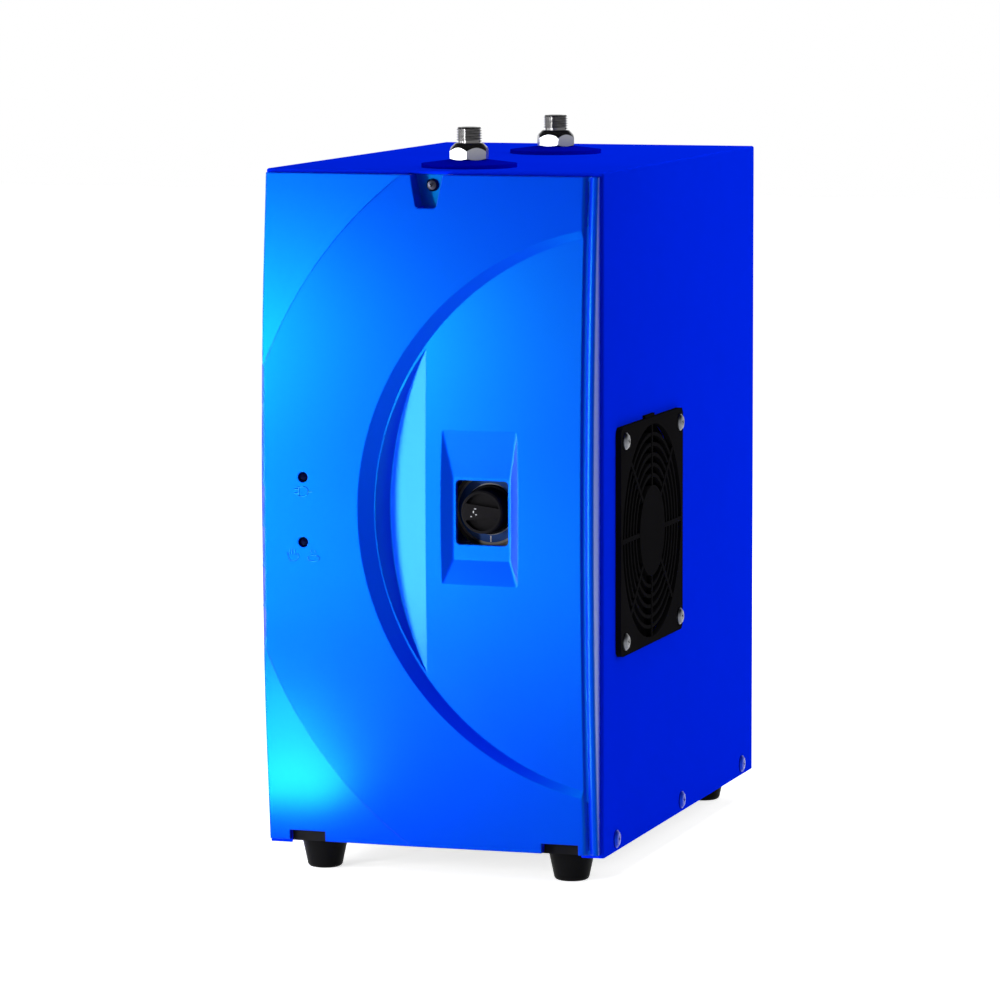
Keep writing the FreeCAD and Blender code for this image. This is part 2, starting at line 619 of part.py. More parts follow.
def foot_places():
    return [(x, y) for x in ("foot_x", "wide - foot_x") for y in ("foot_y", "deep - foot_y")]


def mount_places():
    return [(f"shell_x {a} mount_x", f"shell_y {b} mount_y") for a in "+-" for b in "+-"]


def feet():
    """Four tapered rubber feet with their screws and nuts."""
    high = "stand + tray_up"
    well, well_up, hole = "5", "7", "2.1"
    names = ("foot_front_left", "foot_back_left", "foot_front_right", "foot_back_right")
    screws, nuts = [], []
    for name, (x, y) in zip(names, foot_places()):
        plain = revolve(f"{name}_turned", [
            (well, "0"), ("foot_bottom", "0"), ("foot_top", high), (hole, high),
            (hole, well_up), (well, well_up),
        ], (x, y, "-stand"), STAND_UP)
        soft = rounded(f"{name}_soft", plain, "foot_round", lambda e: is_ring(e, size("foot_bottom")))
        part(soft, name)
        screws.append(pan_screw(f"{name}_screw", (x, y, f"-stand + {well_up}"), HEAD_DOWN,
                                "4", "2.6", "2", "stand + tray_up + tray_sheet - 7 + 5"))
        nut = doc.addObject("Part::Prism", f"{name}_hex")
        nut.Polygon = 6
        bind(nut, Circumradius="4", Height="3.2")
        place(nut, (x, y, "tray_up + tray_sheet"))
        bore = cylinder(f"{name}_nut_bore", "2.05", "5", (x, y, "tray_up + tray_sheet - 1"))
        nuts.append(cut(f"{name}_nut", nut, bore))
    part(group("screws_of_feet", screws), "foot_screws")
    part(group("nuts_of_feet", nuts), "foot_nuts")


def is_ring(edge, radius):
    """Whether an edge is a full circle of a radius."""
    curve = edge.Curve
    return isinstance(curve, Part.Circle) and abs(curve.Radius - radius) < 1e-4


def cabinet_screws():
    screws = []
    for side, x, turn in (("left", "0", HEAD_LEFT), ("right", "wide", HEAD_RIGHT)):
        for i, y in enumerate(side_places()):
            screws.append(pan_screw(f"side_screw_{side}_{i}", (x, y, "side_up"), turn,
                                    "side_head", "side_tall", "side_shank", "side_long"))
    part(group("screws_of_sides", screws), "side_screws")
    screws = [pan_screw(f"back_screw_{i}", (x, "deep + panel_thick", z), HEAD_BACK,
                        "3.6", "1.9", "side_shank", "side_long")
              for i, (x, z) in enumerate(panel_screw_places())]
    part(group("screws_of_back", screws), "back_screws")
    part(pan_screw("cover_screw_turned", ("pocket_x", "pocket_depth", "tall - screw_drop"), HEAD_FRONT,
                   "3.3", "2.2", "screw_radius", "cover_wall + rail_sheet + 5"), "cover_screw")


def top_rail():
    """Angle under the housing's top that takes the cover's screw."""
    y = "pocket_depth + cover_wall"
    left = "pocket_x - rail_wide / 2"
    angle = extrude("rail_angle", outline("rail_outline", [
        (y, "tall - sheet - rail_drop"), (f"{y} + rail_sheet", "tall - sheet - rail_drop"),
        (f"{y} + rail_sheet", "tall - sheet - rail_sheet"), (f"{y} + rail_leg", "tall - sheet - rail_sheet"),
        (f"{y} + rail_leg", "tall - sheet"), (y, "tall - sheet"),
    ], (left, "0", "0"), Rotation(Vector(1, 1, 1), 120)), (1, 0, 0), "rail_wide")
    hole = cylinder("rail_hole", "screw_radius + 0.05", "4 * rail_sheet",
                    ("pocket_x", f"{y} - rail_sheet", "tall - screw_drop"), ALONG_Y)
    return part(cut("rail", angle, hole), "top_rail")


def fan_guard():
    """Square moulded guard: rings and eight spokes round a plain middle disc."""
    at = ("wide", "fan_y", "fan_up")
    plate = box("guard_plate", "guard_thick", "fan_size", "fan_size",
                ("wide", "fan_y - fan_size / 2", "fan_up - fan_size / 2"))
    frame = rounded("guard_square", plate, "guard_corner",
                    lambda e: abs(e.tangentAt(e.FirstParameter).x) > 0.9)
    mouth = cylinder("guard_mouth", "guard_open", "3 * guard_thick",
                     ("wide - guard_thick", "fan_y", "fan_up"), ALONG_X)
    pieces = [cut("guard_frame", frame, mouth)]
    pieces.append(cylinder("guard_disc", "guard_hub", "guard_thick", at, ALONG_X))
    pitch = "(guard_open - guard_hub) / ring_count"
    for i in range(1, int(size("ring_count"))):
        middle_radius = f"guard_hub + {i} * {pitch}"
        ring = cylinder(f"guard_ring_{i}", f"{middle_radius} + rib / 2", "guard_thick - 0.5", at, ALONG_X)
        inside = cylinder(f"guard_gap_{i}", f"{middle_radius} - rib / 2", "2 * guard_thick",
                          ("wide - guard_thick / 2", "fan_y", "fan_up"), ALONG_X)
        pieces.append(cut(f"guard_round_{i}", ring, inside))
    for i in range(4):
        spoke = doc.addObject("Part::Box", f"guard_spoke_{i}")
        bind(spoke, Length="guard_thick - 0.2", Width="spoke", Height="2 * guard_open + 1")
        turn = Rotation(Vector(1, 0, 0), 45 * i)
        corner = turn.multVec(Vector(0, -size("spoke") / 2, -size("guard_open") - 0.5))
        centre = Vector(size("wide"), size("fan_y"), size("fan_up"))
        spoke.Placement = Placement(centre + corner, turn)
        pieces.append(spoke)
    pieces.append(box("guard_tab", "guard_thick / 2", "tab_wide", "tab_tall + 1",
                      ("wide", "fan_y - tab_wide / 2", "fan_up + fan_size / 2 - 1")))
    whole = fuse("guard_whole", pieces)
    holes = [cylinder(f"guard_hole_{i}", "2.3", "3 * guard_thick", ("wide - guard_thick", y, z), ALONG_X)
             for i, (y, z) in enumerate(fan_holes())]
    part(cut("guard", whole, fuse("guard_holes", holes)), "fan_guard")
    screws = [pan_screw(f"guard_screw_{i}", ("wide + guard_thick", y, z), HEAD_RIGHT,
                        "4.5", "2.3", "2.1", "guard_thick + sheet + 12")
              for i, (y, z) in enumerate(fan_holes())]
    part(group("screws_of_guard", screws), "guard_screws")


def fan():
    """Square fan frame with its motor seat and pin, and the rotor on the pin."""
    outer_x = "wide - sheet"
    inner_x = f"{outer_x} - fan_depth"
    square = box("frame_square", "fan_depth", "fan_size", "fan_size",
                 (inner_x, "fan_y - fan_size / 2", "fan_up - fan_size / 2"))
    frame = rounded("frame_corners", square, "guard_corner",
                    lambda e: abs(e.tangentAt(e.FirstParameter).x) > 0.9)
    bore = cylinder("frame_bore", "fan_bore", "2 * fan_depth",
                    (f"{inner_x} - fan_depth / 2", "fan_y", "fan_up"), ALONG_X)
    pieces = [cut("frame_ring", frame, bore)]
    pieces.append(cylinder("frame_seat", "hub_radius", "motor_seat", (inner_x, "fan_y", "fan_up"), ALONG_X))
    pieces.append(cylinder("frame_pin", "pin_radius", "fan_depth - 4", (inner_x, "fan_y", "fan_up"), ALONG_X))
    for i in range(2):
        strut = doc.addObject("Part::Box", f"frame_strut_{i}")
        bind(strut, Length="motor_seat", Width="5", Height="2 * fan_bore + 1")
        turn = Rotation(Vector(1, 0, 0), 45 + 90 * i)
        corner = turn.multVec(Vector(0, -2.5, -size("fan_bore") - 0.5))
        centre = Vector(size("wide") - size("sheet") - size("fan_depth"), size("fan_y"), size("fan_up"))
        strut.Placement = Placement(centre + corner, turn)
        pieces.append(strut)
    holes = [cylinder(f"frame_hole_{i}", "2.15", "2 * fan_depth", (f"{inner_x} - 1", y, z), ALONG_X)
             for i, (y, z) in enumerate(fan_holes())]
    part(cut("frame", fuse("frame_whole", pieces), fuse("frame_holes", holes)), "fan_frame")
    rotor()


def rotor():
    """Hub cup and twisted blades, lofted from root to tip and repeated round the hub."""
    body = doc.addObject("PartDesign::Body", "rotor_body")
    planes = {p.Role: p for p in body.Origin.OriginFeatures}
    deep = size("fan_depth") - size("motor_seat") - 2 * size("rotor_gap")
    disc = body.newObject("Sketcher::SketchObject", "rotor_disc")
    disc.AttachmentSupport = (planes["XY_Plane"], [""])
    disc.MapMode = "FlatFace"
    disc.addGeometry(Part.Circle(Vector(0, 0, 0), Vector(0, 0, 1), size("hub_radius")))
    disc.addConstraint(Sketcher.Constraint("Coincident", 0, 3, -1, 1))
    index = disc.addConstraint(Sketcher.Constraint("Radius", 0, size("hub_radius")))
    disc.setExpression(f"Constraints[{index}]", bound("hub_radius"))
    hub = body.newObject("PartDesign::Pad", "rotor_hub")
    hub.Profile = disc
    bind(hub, Length="fan_depth - motor_seat - 2 * rotor_gap")
    doc.recompute()

    # One blade: a slim section near the hub's middle height, wider and flatter at the tip
    root_reach = size("hub_radius") - 1.5
    tip_reach = size("fan_bore") + 1
    sections = []
    for word, reach, chord, pitch in (("root", root_reach, 0.9 * deep, "blade_pitch + 14"),
                                      ("tip", tip_reach, 1.5 * deep, "blade_pitch - 6")):
        sketch = body.newObject("Sketcher::SketchObject", f"blade_{word}")
        sketch.AttachmentSupport = (planes["YZ_Plane"], [""])
        sketch.MapMode = "FlatFace"
        half, thick = chord / 2, 0.8
        corners = [(-half, -thick / 2), (half, -thick / 2), (half, thick / 2), (0, 1.6 * thick), (-half, thick / 2)]
        for i, (a, b) in enumerate(corners):
            c, d = corners[(i + 1) % len(corners)]
            sketch.addGeometry(Part.LineSegment(Vector(a, b, 0), Vector(c, d, 0)))
        for i in range(len(corners)):
            sketch.addConstraint(Sketcher.Constraint("Coincident", i, 2, (i + 1) % len(corners), 1))
            sketch.addConstraint(Sketcher.Constraint("Block", i))
        lean = Rotation(Vector(0, 0, 1), 0)
        sketch.AttachmentOffset = Placement(Vector(0, deep / 2, reach), lean)
        sketch.setExpression("AttachmentOffset.Rotation.Angle", bound(pitch))
        sections.append(sketch)
    blade = body.newObject("PartDesign::AdditiveLoft", "rotor_blade")
    blade.Profile = sections[0]
    blade.Sections = [sections[1]]
    blade.Ruled = False
    doc.recompute()
    ring = body.newObject("PartDesign::PolarPattern", "rotor_blades")
    ring.Originals = [blade]
    axis = {p.Role: p for p in body.Origin.OriginFeatures}["Z_Axis"]
    ring.Axis = (axis, [""])
    ring.Angle = 360
    ring.Occurrences = int(size("blades"))
    body.Tip = ring
    doc.recompute()
    start = "wide - sheet - fan_depth + motor_seat + rotor_gap"
    place(body, (start, "fan_y", "fan_up"), ALONG_X)
    reach = cylinder("rotor_reach", "fan_bore - tip_gap", "fan_depth",
                     (f"{start} - 1", "fan_y", "fan_up"), ALONG_X)
    hole = cylinder("rotor_bore", "pin_radius + pin_gap", "fan_depth - motor_seat - 2 * rotor_gap - 1",
                    (f"{start} - 1", "fan_y", "fan_up"), ALONG_X)
    return part(cut("rotor", common("rotor_trimmed", body, reach), hole), "fan_rotor")


def grommets_and_ports():
    """Moulded cap, hex fitting with its barb, and locknut at each of the two top ports."""
    names = ("outlet", "inlet")
    for word, hand in zip(("front", "rear"), names):
        at = ("port_x", f"port_{word}", "tall")
        grommet = revolve(f"grommet_{word}_turned", [
            ("thread_radius + 0.12", "-3"), ("grommet_hole + 2", "-3"), ("grommet_hole + 2", "-sheet"),
            ("grommet_hole - 0.2", "-sheet"), ("grommet_hole - 0.2", "0"), ("grommet_radius", "0"),
            ("grommet_radius", "grommet_rim"), ("hex_flats / 2 + 1.5", "grommet_crown"),
            ("thread_radius + 0.12", "grommet_crown"),
        ], at, STAND_UP)
        part(grommet, f"top_grommet_{word}")
        fitting(hand, at)
        nut = doc.addObject("Part::Prism", f"{hand}_locknut_hex")
        nut.Polygon = 6
        bind(nut, Circumradius="11", Height="5")
        place(nut, ("port_x", f"port_{word}", "tall - 3 - 5"))
        bore = cylinder(f"{hand}_locknut_bore", "thread_radius + 0.05", "12", ("port_x", f"port_{word}", "tall - 12"))
        part(cut(f"{hand}_locknut_cut", nut, bore), f"{hand}_locknut")


def fitting(hand, at):
    """Hex fitting: threaded neck, domed hex, shank through the cap and barb for the hose."""
    low, neck = "-barb_low", "grommet_crown + hex_tall + hex_dome"
    barb = "hose_bore"
    body = revolve(f"{hand}_turned", [
        ("bore_radius", low), (f"{barb} - 0.4", low), (f"{barb} - 0.05", f"{low} + 4"),
        (f"{barb} - 0.05", "-16"), ("thread_radius", "-16"),
        ("thread_radius", f"{neck} + thread_long - 0.8"),
        ("thread_radius - 0.8", f"{neck} + thread_long"), ("bore_radius", f"{neck} + thread_long"),
    ], at, STAND_UP)
    hexagon = doc.addObject("Part::Prism", f"{hand}_hex")
    hexagon.Polygon = 6
    bind(hexagon, Circumradius="hex_flats / sqrt(3)", Height="hex_tall + hex_dome")
    place(hexagon, (at[0], at[1], f"{at[2]} + grommet_crown"), Rotation(Vector(0, 0, 1), size(f"{hand}_turn")))
    # The dome's round profile shaves the hexagon's corners above and below
    radius = "hex_flats / sqrt(3)"
    dome = revolve(f"{hand}_dome", [
        ("0", "grommet_crown"), ("hex_flats / 2 - 0.15", "grommet_crown"),
        (f"{radius} + 0.1", "grommet_crown + hex_foot"),
        (f"{radius} + 0.1", "grommet_crown + hex_tall - 1"),
        ("hex_flats / 2 * 0.99", "grommet_crown + hex_tall + hex_dome * 0.35"),
        ("hex_flats / 2 * 0.8", f"{neck} - 0.3"), ("thread_radius + 0.4", neck), ("0", neck),
    ], at, STAND_UP)
    hex_part = common(f"{hand}_hex_domed", hexagon, dome)
    bore = cylinder(f"{hand}_bore", "bore_radius", "80", (at[0], at[1], f"{at[2]} - 45"))
    return part(cut(f"{hand}_fitting_bored", fuse(f"{hand}_whole", [body, hex_part]), bore),
                f"{hand}_fitting")


def controls():
    """Thermostat with its bracket, dial ring and knob."""
    axis = lambda y: ("knob_x", y, "knob_up")
    dial_front = "knob_back + 0.4"
    web = "bracket_back"
    part(cut("dial_ring", cylinder("dial_disc", "dial_radius", "dial_thick", axis(f"{web} - dial_thick"), ALONG_Y),
             cylinder("dial_bore", "5.3", "4 * dial_thick", axis(f"{web} - 3 * dial_thick"), ALONG_Y)),
         "thermostat_dial")

    # Bracket: a web behind the dial, folded forward and then sideways onto the housing's flange
    fold = extrude("bracket_fold", outline("bracket_outline", [
        ("knob_x - 22", web), ("bracket_reach", web), ("bracket_reach", "sheet"),
        ("wide - sheet - 1", "sheet"), ("wide - sheet - 1", "2 * sheet"),
        ("bracket_reach + sheet", "2 * sheet"), ("bracket_reach + sheet", f"{web} + sheet"),
        ("knob_x - 22", f"{web} + sheet"),
    ], ("0", "0", "knob_up - 30")), (0, 0, 1), "60")
    hole = cylinder("bracket_hole", "5.2", "6 * sheet", axis(f"{web} - 2 * sheet"), ALONG_Y)
    part(cut("bracket", fold, hole), "thermostat_bracket")

    body_front = f"{web} + sheet"
    case = box("thermostat_case", "30", "28", "40", ("knob_x - 15", body_front, "knob_up - 20"))
    soft = rounded("thermostat_soft", case, "thermostat_round", lambda e: abs(e.tangentAt(e.FirstParameter).y) > 0.9)
    bush = cylinder("thermostat_bush", "5", "sheet + 0.4", axis(f"{web} - 0.4"), ALONG_Y)
    socket = cylinder("thermostat_socket", "shaft_radius + pin_gap", "14", axis(f"{web} - 1"), ALONG_Y)
    part(cut("thermostat_bored", fuse("thermostat_whole", [soft, bush]), socket), "thermostat_body")
    knob(axis)


def knob(axis):
    """Knob with its grip bar, skirt and stem, turned and then cut."""
    body = revolve("knob_turned", [
        ("0", "-knob_front"), ("knob_radius - 0.8", "-knob_front"), ("knob_radius", "-knob_front + 0.8"),
        ("knob_radius + 0.5", "knob_back - skirt_thick"), ("skirt_radius - 0.5", "knob_back - skirt_thick"),
        ("skirt_radius", "knob_back - skirt_thick + 0.5"), ("skirt_radius", "knob_back - 0.3"),
        ("0", "knob_back - 0.3"),
    ], axis("0"))
    tools = []
    for word, way in (("upper", ""), ("lower", "-")):
        edge, tip, far = f"{way}grip / 2", f"{way}grip_tip / 2", f"{way}knob_radius"
        tools.append(extrude(f"knob_{word}_slab", outline(f"knob_{word}_outline", [
            ("knob_x - knob_radius", f"knob_up + ({edge})"), ("knob_x + knob_radius", f"knob_up + ({tip})"),
            ("knob_x + knob_radius", f"knob_up + ({far})"), ("knob_x - knob_radius", f"knob_up + ({far})"),
        ], ("0", "-knob_front + grip_depth", "0"), STAND_UP), (0, -1, 0), "grip_depth + 1"))
    slabs = fuse("knob_slabs", tools)
    inside = cylinder("knob_face_round", "knob_radius - 1.6", "grip_depth + 2", axis("-knob_front - 1"), ALONG_Y)
    body = cut("knob_gripped", body, common("knob_wells", slabs, inside))
    stem = cylinder("knob_stem", "shaft_radius", "bracket_back + 10 - knob_back", axis("knob_back - 0.4"), ALONG_Y)
    return part(fuse("knob_whole", [body, stem]), "thermostat_knob")


def indicators():
    """Small circuit board behind the cover with its two lights and its screws."""
    low, high = "light_low - post_out - 6", "light_up + post_out + 6"
    plate = box("board_plate", "board_wide", "board_thick", f"{high} - ({low})",
                ("light_x - board_wide / 2", "-board_back", low))
    holes = [cylinder(f"board_hole_{word}", "board_screw + slack", "4 * board_thick",
                      ("light_x", "-board_back - board_thick", up), ALONG_Y)
             for word, up in board_post_places()]
    part(cut("board", plate, fuse("board_holes", holes)), "indicator_board")
    screws = [pan_screw(f"board_screw_{word}", ("light_x", "-board_back + board_thick", up), HEAD_BACK,
                        "2.4", "1.6", "board_screw", "board_thick + 3.5")
              for word, up in board_post_places()]
    part(group("screws_of_board", screws), "board_screws")
    for word, up in (("power", "light_up"), ("cooling", "light_low")):
        lamp = revolve(f"{word}_lamp", [
            ("0", "-board_back"), ("light_radius + 0.4", "-board_back"),
            ("light_radius + 0.4", "-board_back - 1"), ("light_radius", "-board_back - 1"),
            ("light_radius", "-bulge + 2.6"), ("0.7 * light_radius", "-bulge + 1.1"), ("0", "-bulge + 0.7"),
        ], ("light_x", "0", up))
        part(lamp, f"light_{word}")


def rounded_route(points, bend):
    """Centre line through points, with an arc of the same radius at each corner."""
    points = [Vector(*p) for p in points]
    edges, start = [], points[0]
    for before, corner, after in zip(points, points[1:], points[2:]):
        back, ahead = (before - corner).normalize(), (after - corner).normalize()
        half = back.getAngle(ahead) / 2
        reach = bend / math.tan(half)
        first, last = corner + back * reach, corner + ahead * reach
        middle_point = corner + (back + ahead).normalize() * (bend / math.sin(half) - bend)
        if (first - start).Length > 1e-4:
            edges.append(Part.LineSegment(start, first).toShape())
        edges.append(Part.Arc(first, middle_point, last).toShape())
        start = last
    edges.append(Part.LineSegment(start, points[-1]).toShape())
    return Part.Wire(edges)


def tube(name, points, outer, bore, bend):
    """Bent tube: a ring swept along a rounded route, less its bore."""
    line = doc.addObject("Part::Feature", f"{name}_route")
    line.Shape = rounded_route(points, bend)
    every_edge = [f"Edge{i + 1}" for i in range(len(line.Shape.Edges))]
    aim = Rotation(Vector(0, 0, 1), Vector(*points[1]) - Vector(*points[0]))
    sweeps = []
    for word, radius in (("skin", outer), ("bore", bore)):
        ring = doc.addObject("Part::Circle", f"{name}_{word}_ring")
        bind(ring, Radius=radius)
        ring.Placement = Placement(Vector(*points[0]), aim)
        sweep = doc.addObject("Part::Sweep", f"{name}_{word}")
        sweep.Sections = [ring]
        sweep.Spine = (line, every_edge)
        sweep.Solid = True
        sweeps.append(sweep)
    return cut(f"{name}_tube", sweeps[0], sweeps[1])


def row_height(i):
    """Height of one pass of the condenser's tube, counted from the top."""
    return size("fan_up") + ((size("fin_rows") - 1) / 2 - i) * size("fin_pitch")


def condenser():
    """Fin block behind the fan, with one tube that passes to and fro through it."""
    face = "pipe_x + fin_deep / 2"
    front, back, pipe_x = size("fin_front"), size("fin_back"), size("pipe_x")
    rows = int(size("fin_rows"))
    block = box("fin_block", "fin_deep", "fin_back - fin_front", "fin_rows * fin_pitch + 8",
                ("pipe_x - fin_deep / 2", "fin_front", "fan_up - fin_rows * fin_pitch / 2 - 4"))
    tools = []
    count = int(size("fin_grooves"))
    for i in range(count):
        y = front + (i + 1) * (back - front) / (count + 1)
        tools.append(box(f"fin_groove_{i}", "3.5", "2", "fan_size + 40",
                         (f"{face} - fin_deep - 0.5", str(y - 1), "fan_up - fan_size / 2 - 20")))
    for i in range(rows):
        tools.append(cylinder(f"fin_bore_{i}", "pipe + slack", "fin_back - fin_front + 20",
                              ("pipe_x", "fin_front - 10", str(row_height(i))), ALONG_Y))
    part(cut("fins", block, fuse("fin_cuts", tools)), "condenser_fins")

    points = [(pipe_x, back + 4, row_height(0))]
    for i in range(rows):
        turn_y = front - size("fin_pitch") / 2 if i % 2 == 0 else back + size("fin_pitch") / 2
        if i < rows - 1:
            points += [(pipe_x, turn_y, row_height(i)), (pipe_x, turn_y, row_height(i + 1))]
    points.append((pipe_x, back + 4, row_height(rows - 1)))
    part(tube("condenser", points, "pipe", "pipe - pipe_wall", size("fin_pitch") / 2), "condenser_tube")
    return pipe_x, back + 4


def compressor():
    """Welded can on its base plate, rubber mounts, bolts and terminal cover; returns its top."""
    floor = "tray_up + tray_sheet"
    seat = f"{floor} + mount_tall"
    can = revolve("compressor_can", [
        ("0", "4"), ("shell_radius - shell_round", "4"), ("shell_radius", "4 + shell_round"),
        ("shell_radius", "shell_tall / 2"), ("shell_radius + 2", "shell_tall / 2"),
        ("shell_radius + 2", "shell_tall / 2 + 5"), ("shell_radius", "shell_tall / 2 + 5"),
        ("shell_radius", "shell_tall - shell_round"), ("shell_radius - shell_round", "shell_tall"),
        ("0", "shell_tall"),
    ], ("shell_x", "shell_y", floor), STAND_UP)
    plate = box("compressor_base", "2 * mount_x + 20", "2 * mount_y + 20", "mount_plate",
                ("shell_x - mount_x - 10", "shell_y - mount_y - 10", seat))
    base = rounded("compressor_plate", plate, "mount_radius", lambda e: abs(e.tangentAt(e.FirstParameter).z) > 0.9)
    top = f"{floor} + shell_tall"
    stubs = [cylinder("discharge_stub", "pipe + 1", "12", ("discharge_x", "shell_y", f"{top} - 3")),
             cylinder("suction_stub", "suction + 1", "12", ("suction_x", "suction_y", f"{top} - 3"))]
    whole = fuse("compressor_whole", [can, base] + stubs)
    tools = [cylinder("discharge_socket", "pipe + slack", "20", ("discharge_x", "shell_y", f"{top} + 1")),
             cylinder("suction_socket", "suction + slack", "20", ("suction_x", "suction_y", f"{top} + 1"))]
    mounts, bolts, nuts = [], [], []
    for i, (x, y) in enumerate(mount_places()):
        tools.append(cylinder(f"mount_plate_hole_{i}", "3.1", "20", (x, y, f"{seat} - 5")))
        mounts.append(revolve(f"mount_{i}", [
            ("3.1", "0"), ("mount_radius", "0"), ("mount_radius - 2", "mount_tall / 2"),
            ("mount_radius", "mount_tall"), ("3.1", "mount_tall"),
        ], (x, y, floor), STAND_UP))
        bolts.append(pan_screw(f"mount_bolt_{i}", (x, y, "tray_up"), HEAD_DOWN, "5", "3.5", "2.95",
                               "tray_sheet + mount_tall + mount_plate + 7"))
        nut = doc.addObject("Part::Prism", f"mount_nut_hex_{i}")
        nut.Polygon = 6
        bind(nut, Circumradius="5.7", Height="5")
        place(nut, (x, y, f"{seat} + mount_plate"))
        hole = cylinder(f"mount_nut_bore_{i}", "3", "9", (x, y, f"{seat} + mount_plate - 2"))
        nuts.append(cut(f"mount_nut_{i}", nut, hole))
    part(cut("compressor_bored", whole, fuse("compressor_holes", tools)), "compressor")
    part(group("mounts_of_compressor", mounts), "compressor_grommets")
    part(group("bolts_of_compressor", bolts), "compressor_bolts")
    part(group("nuts_of_compressor", nuts), "compressor_nuts")

    cap = box("terminal_box", "22", "40", "34", ("shell_x - shell_radius - 16", "shell_y - 20", "shell_tall - 38"))
    soft = rounded("terminal_soft", cap, "thermostat_round", lambda e: e.CenterOfMass.x < size("shell_x") - size("shell_radius") - 10)
    room = cylinder("terminal_room", "shell_radius + seat_gap", "80", ("shell_x", "shell_y", "shell_tall - 50"))
    part(cut("terminal_cut", soft, room), "terminal_cover")
    return size("tray_up") + size("tray_sheet") + size("shell_tall")


def tank():
    """Insulated water tank with the evaporator sealed in it, on its sheet stand."""
    stubs = {(a, b): (f"tank_x {a} stub_x", f"tank_y {b} stub_y") for a in "+-" for b in "+-"}
    top = "tank_up + tank_tall"
    can = revolve("tank_can", [
        ("0", "0"), ("tank_radius - 6", "0"), ("tank_radius", "6"), ("tank_radius", "tank_tall - 6"),
        ("tank_radius - 6", "tank_tall"), ("0", "tank_tall"),
    ], ("tank_x", "tank_y", "tank_up"), STAND_UP)
    necks, bores = [], []
    for (a, b), (x, y) in stubs.items():
        water = b == "-"
        outer = "hose_bore - slack" if water else ("suction + 1" if a == "+" else "capillary + 1")
        inner = "bore_radius - 0.5" if water else ("suction + slack" if a == "+" else "capillary + slack")
        high = "stub_tall" if water else "stub_tall / 2 + 2"
        word = f"{'right' if a == '+' else 'left'}_{'front' if water else 'rear'}"
        necks.append(cylinder(f"tank_neck_{word}", outer, f"{high} + 3", (x, y, f"{top} - 3")))
        bores.append(cylinder(f"tank_bore_{word}", inner, "60", (x, y, f"{top} + 2")))
    part(cut("tank_bored", fuse("tank_whole", [can] + necks), fuse("tank_bores", bores)), "water_tank")

    wide = "2 * (tank_radius + foam_out)"
    for word, start in (("front", "tank_y - tank_radius - foam_out"), ("rear", "tank_y")):
        block = box(f"foam_{word}_block", wide, "tank_radius + foam_out", "tank_tall + 2 * foam_out",
                    ("tank_x - tank_radius - foam_out", start, "tank_up - foam_out"))
        room = cylinder(f"foam_{word}_room", "tank_radius", "tank_tall", ("tank_x", "tank_y", "tank_up"))
        holes = [cylinder(f"foam_{word}_hole_{i}", "suction + 1.3", "60", (x, y, f"{top} - 5"))
                 for i, (x, y) in enumerate(stubs.values())]
        part(cut(f"foam_{word}_cut", block, fuse(f"foam_{word}_rooms", [room] + holes)), f"foam_{word}")

    high = "tank_up - foam_out - tray_up - tray_sheet"
    thick, leg = "tray_sheet", "12"
    stand = extrude("stand_fold", outline("stand_outline", [
        ("0", "0"), (leg, "0"), (leg, thick), (thick, thick), (thick, f"{high} - {thick}"),
        (f"{wide} - {thick}", f"{high} - {thick}"), (f"{wide} - {thick}", thick), (f"{wide} - {leg}", thick),
        (f"{wide} - {leg}", "0"), (wide, "0"), (wide, high), ("0", high),
    ], ("tank_x - tank_radius - foam_out", "tank_y - tank_radius - foam_out", "tray_up + tray_sheet"), STAND_UP),
        (0, 1, 0), wide)
    return part(group("stand_piece", [stand]), "tank_stand")


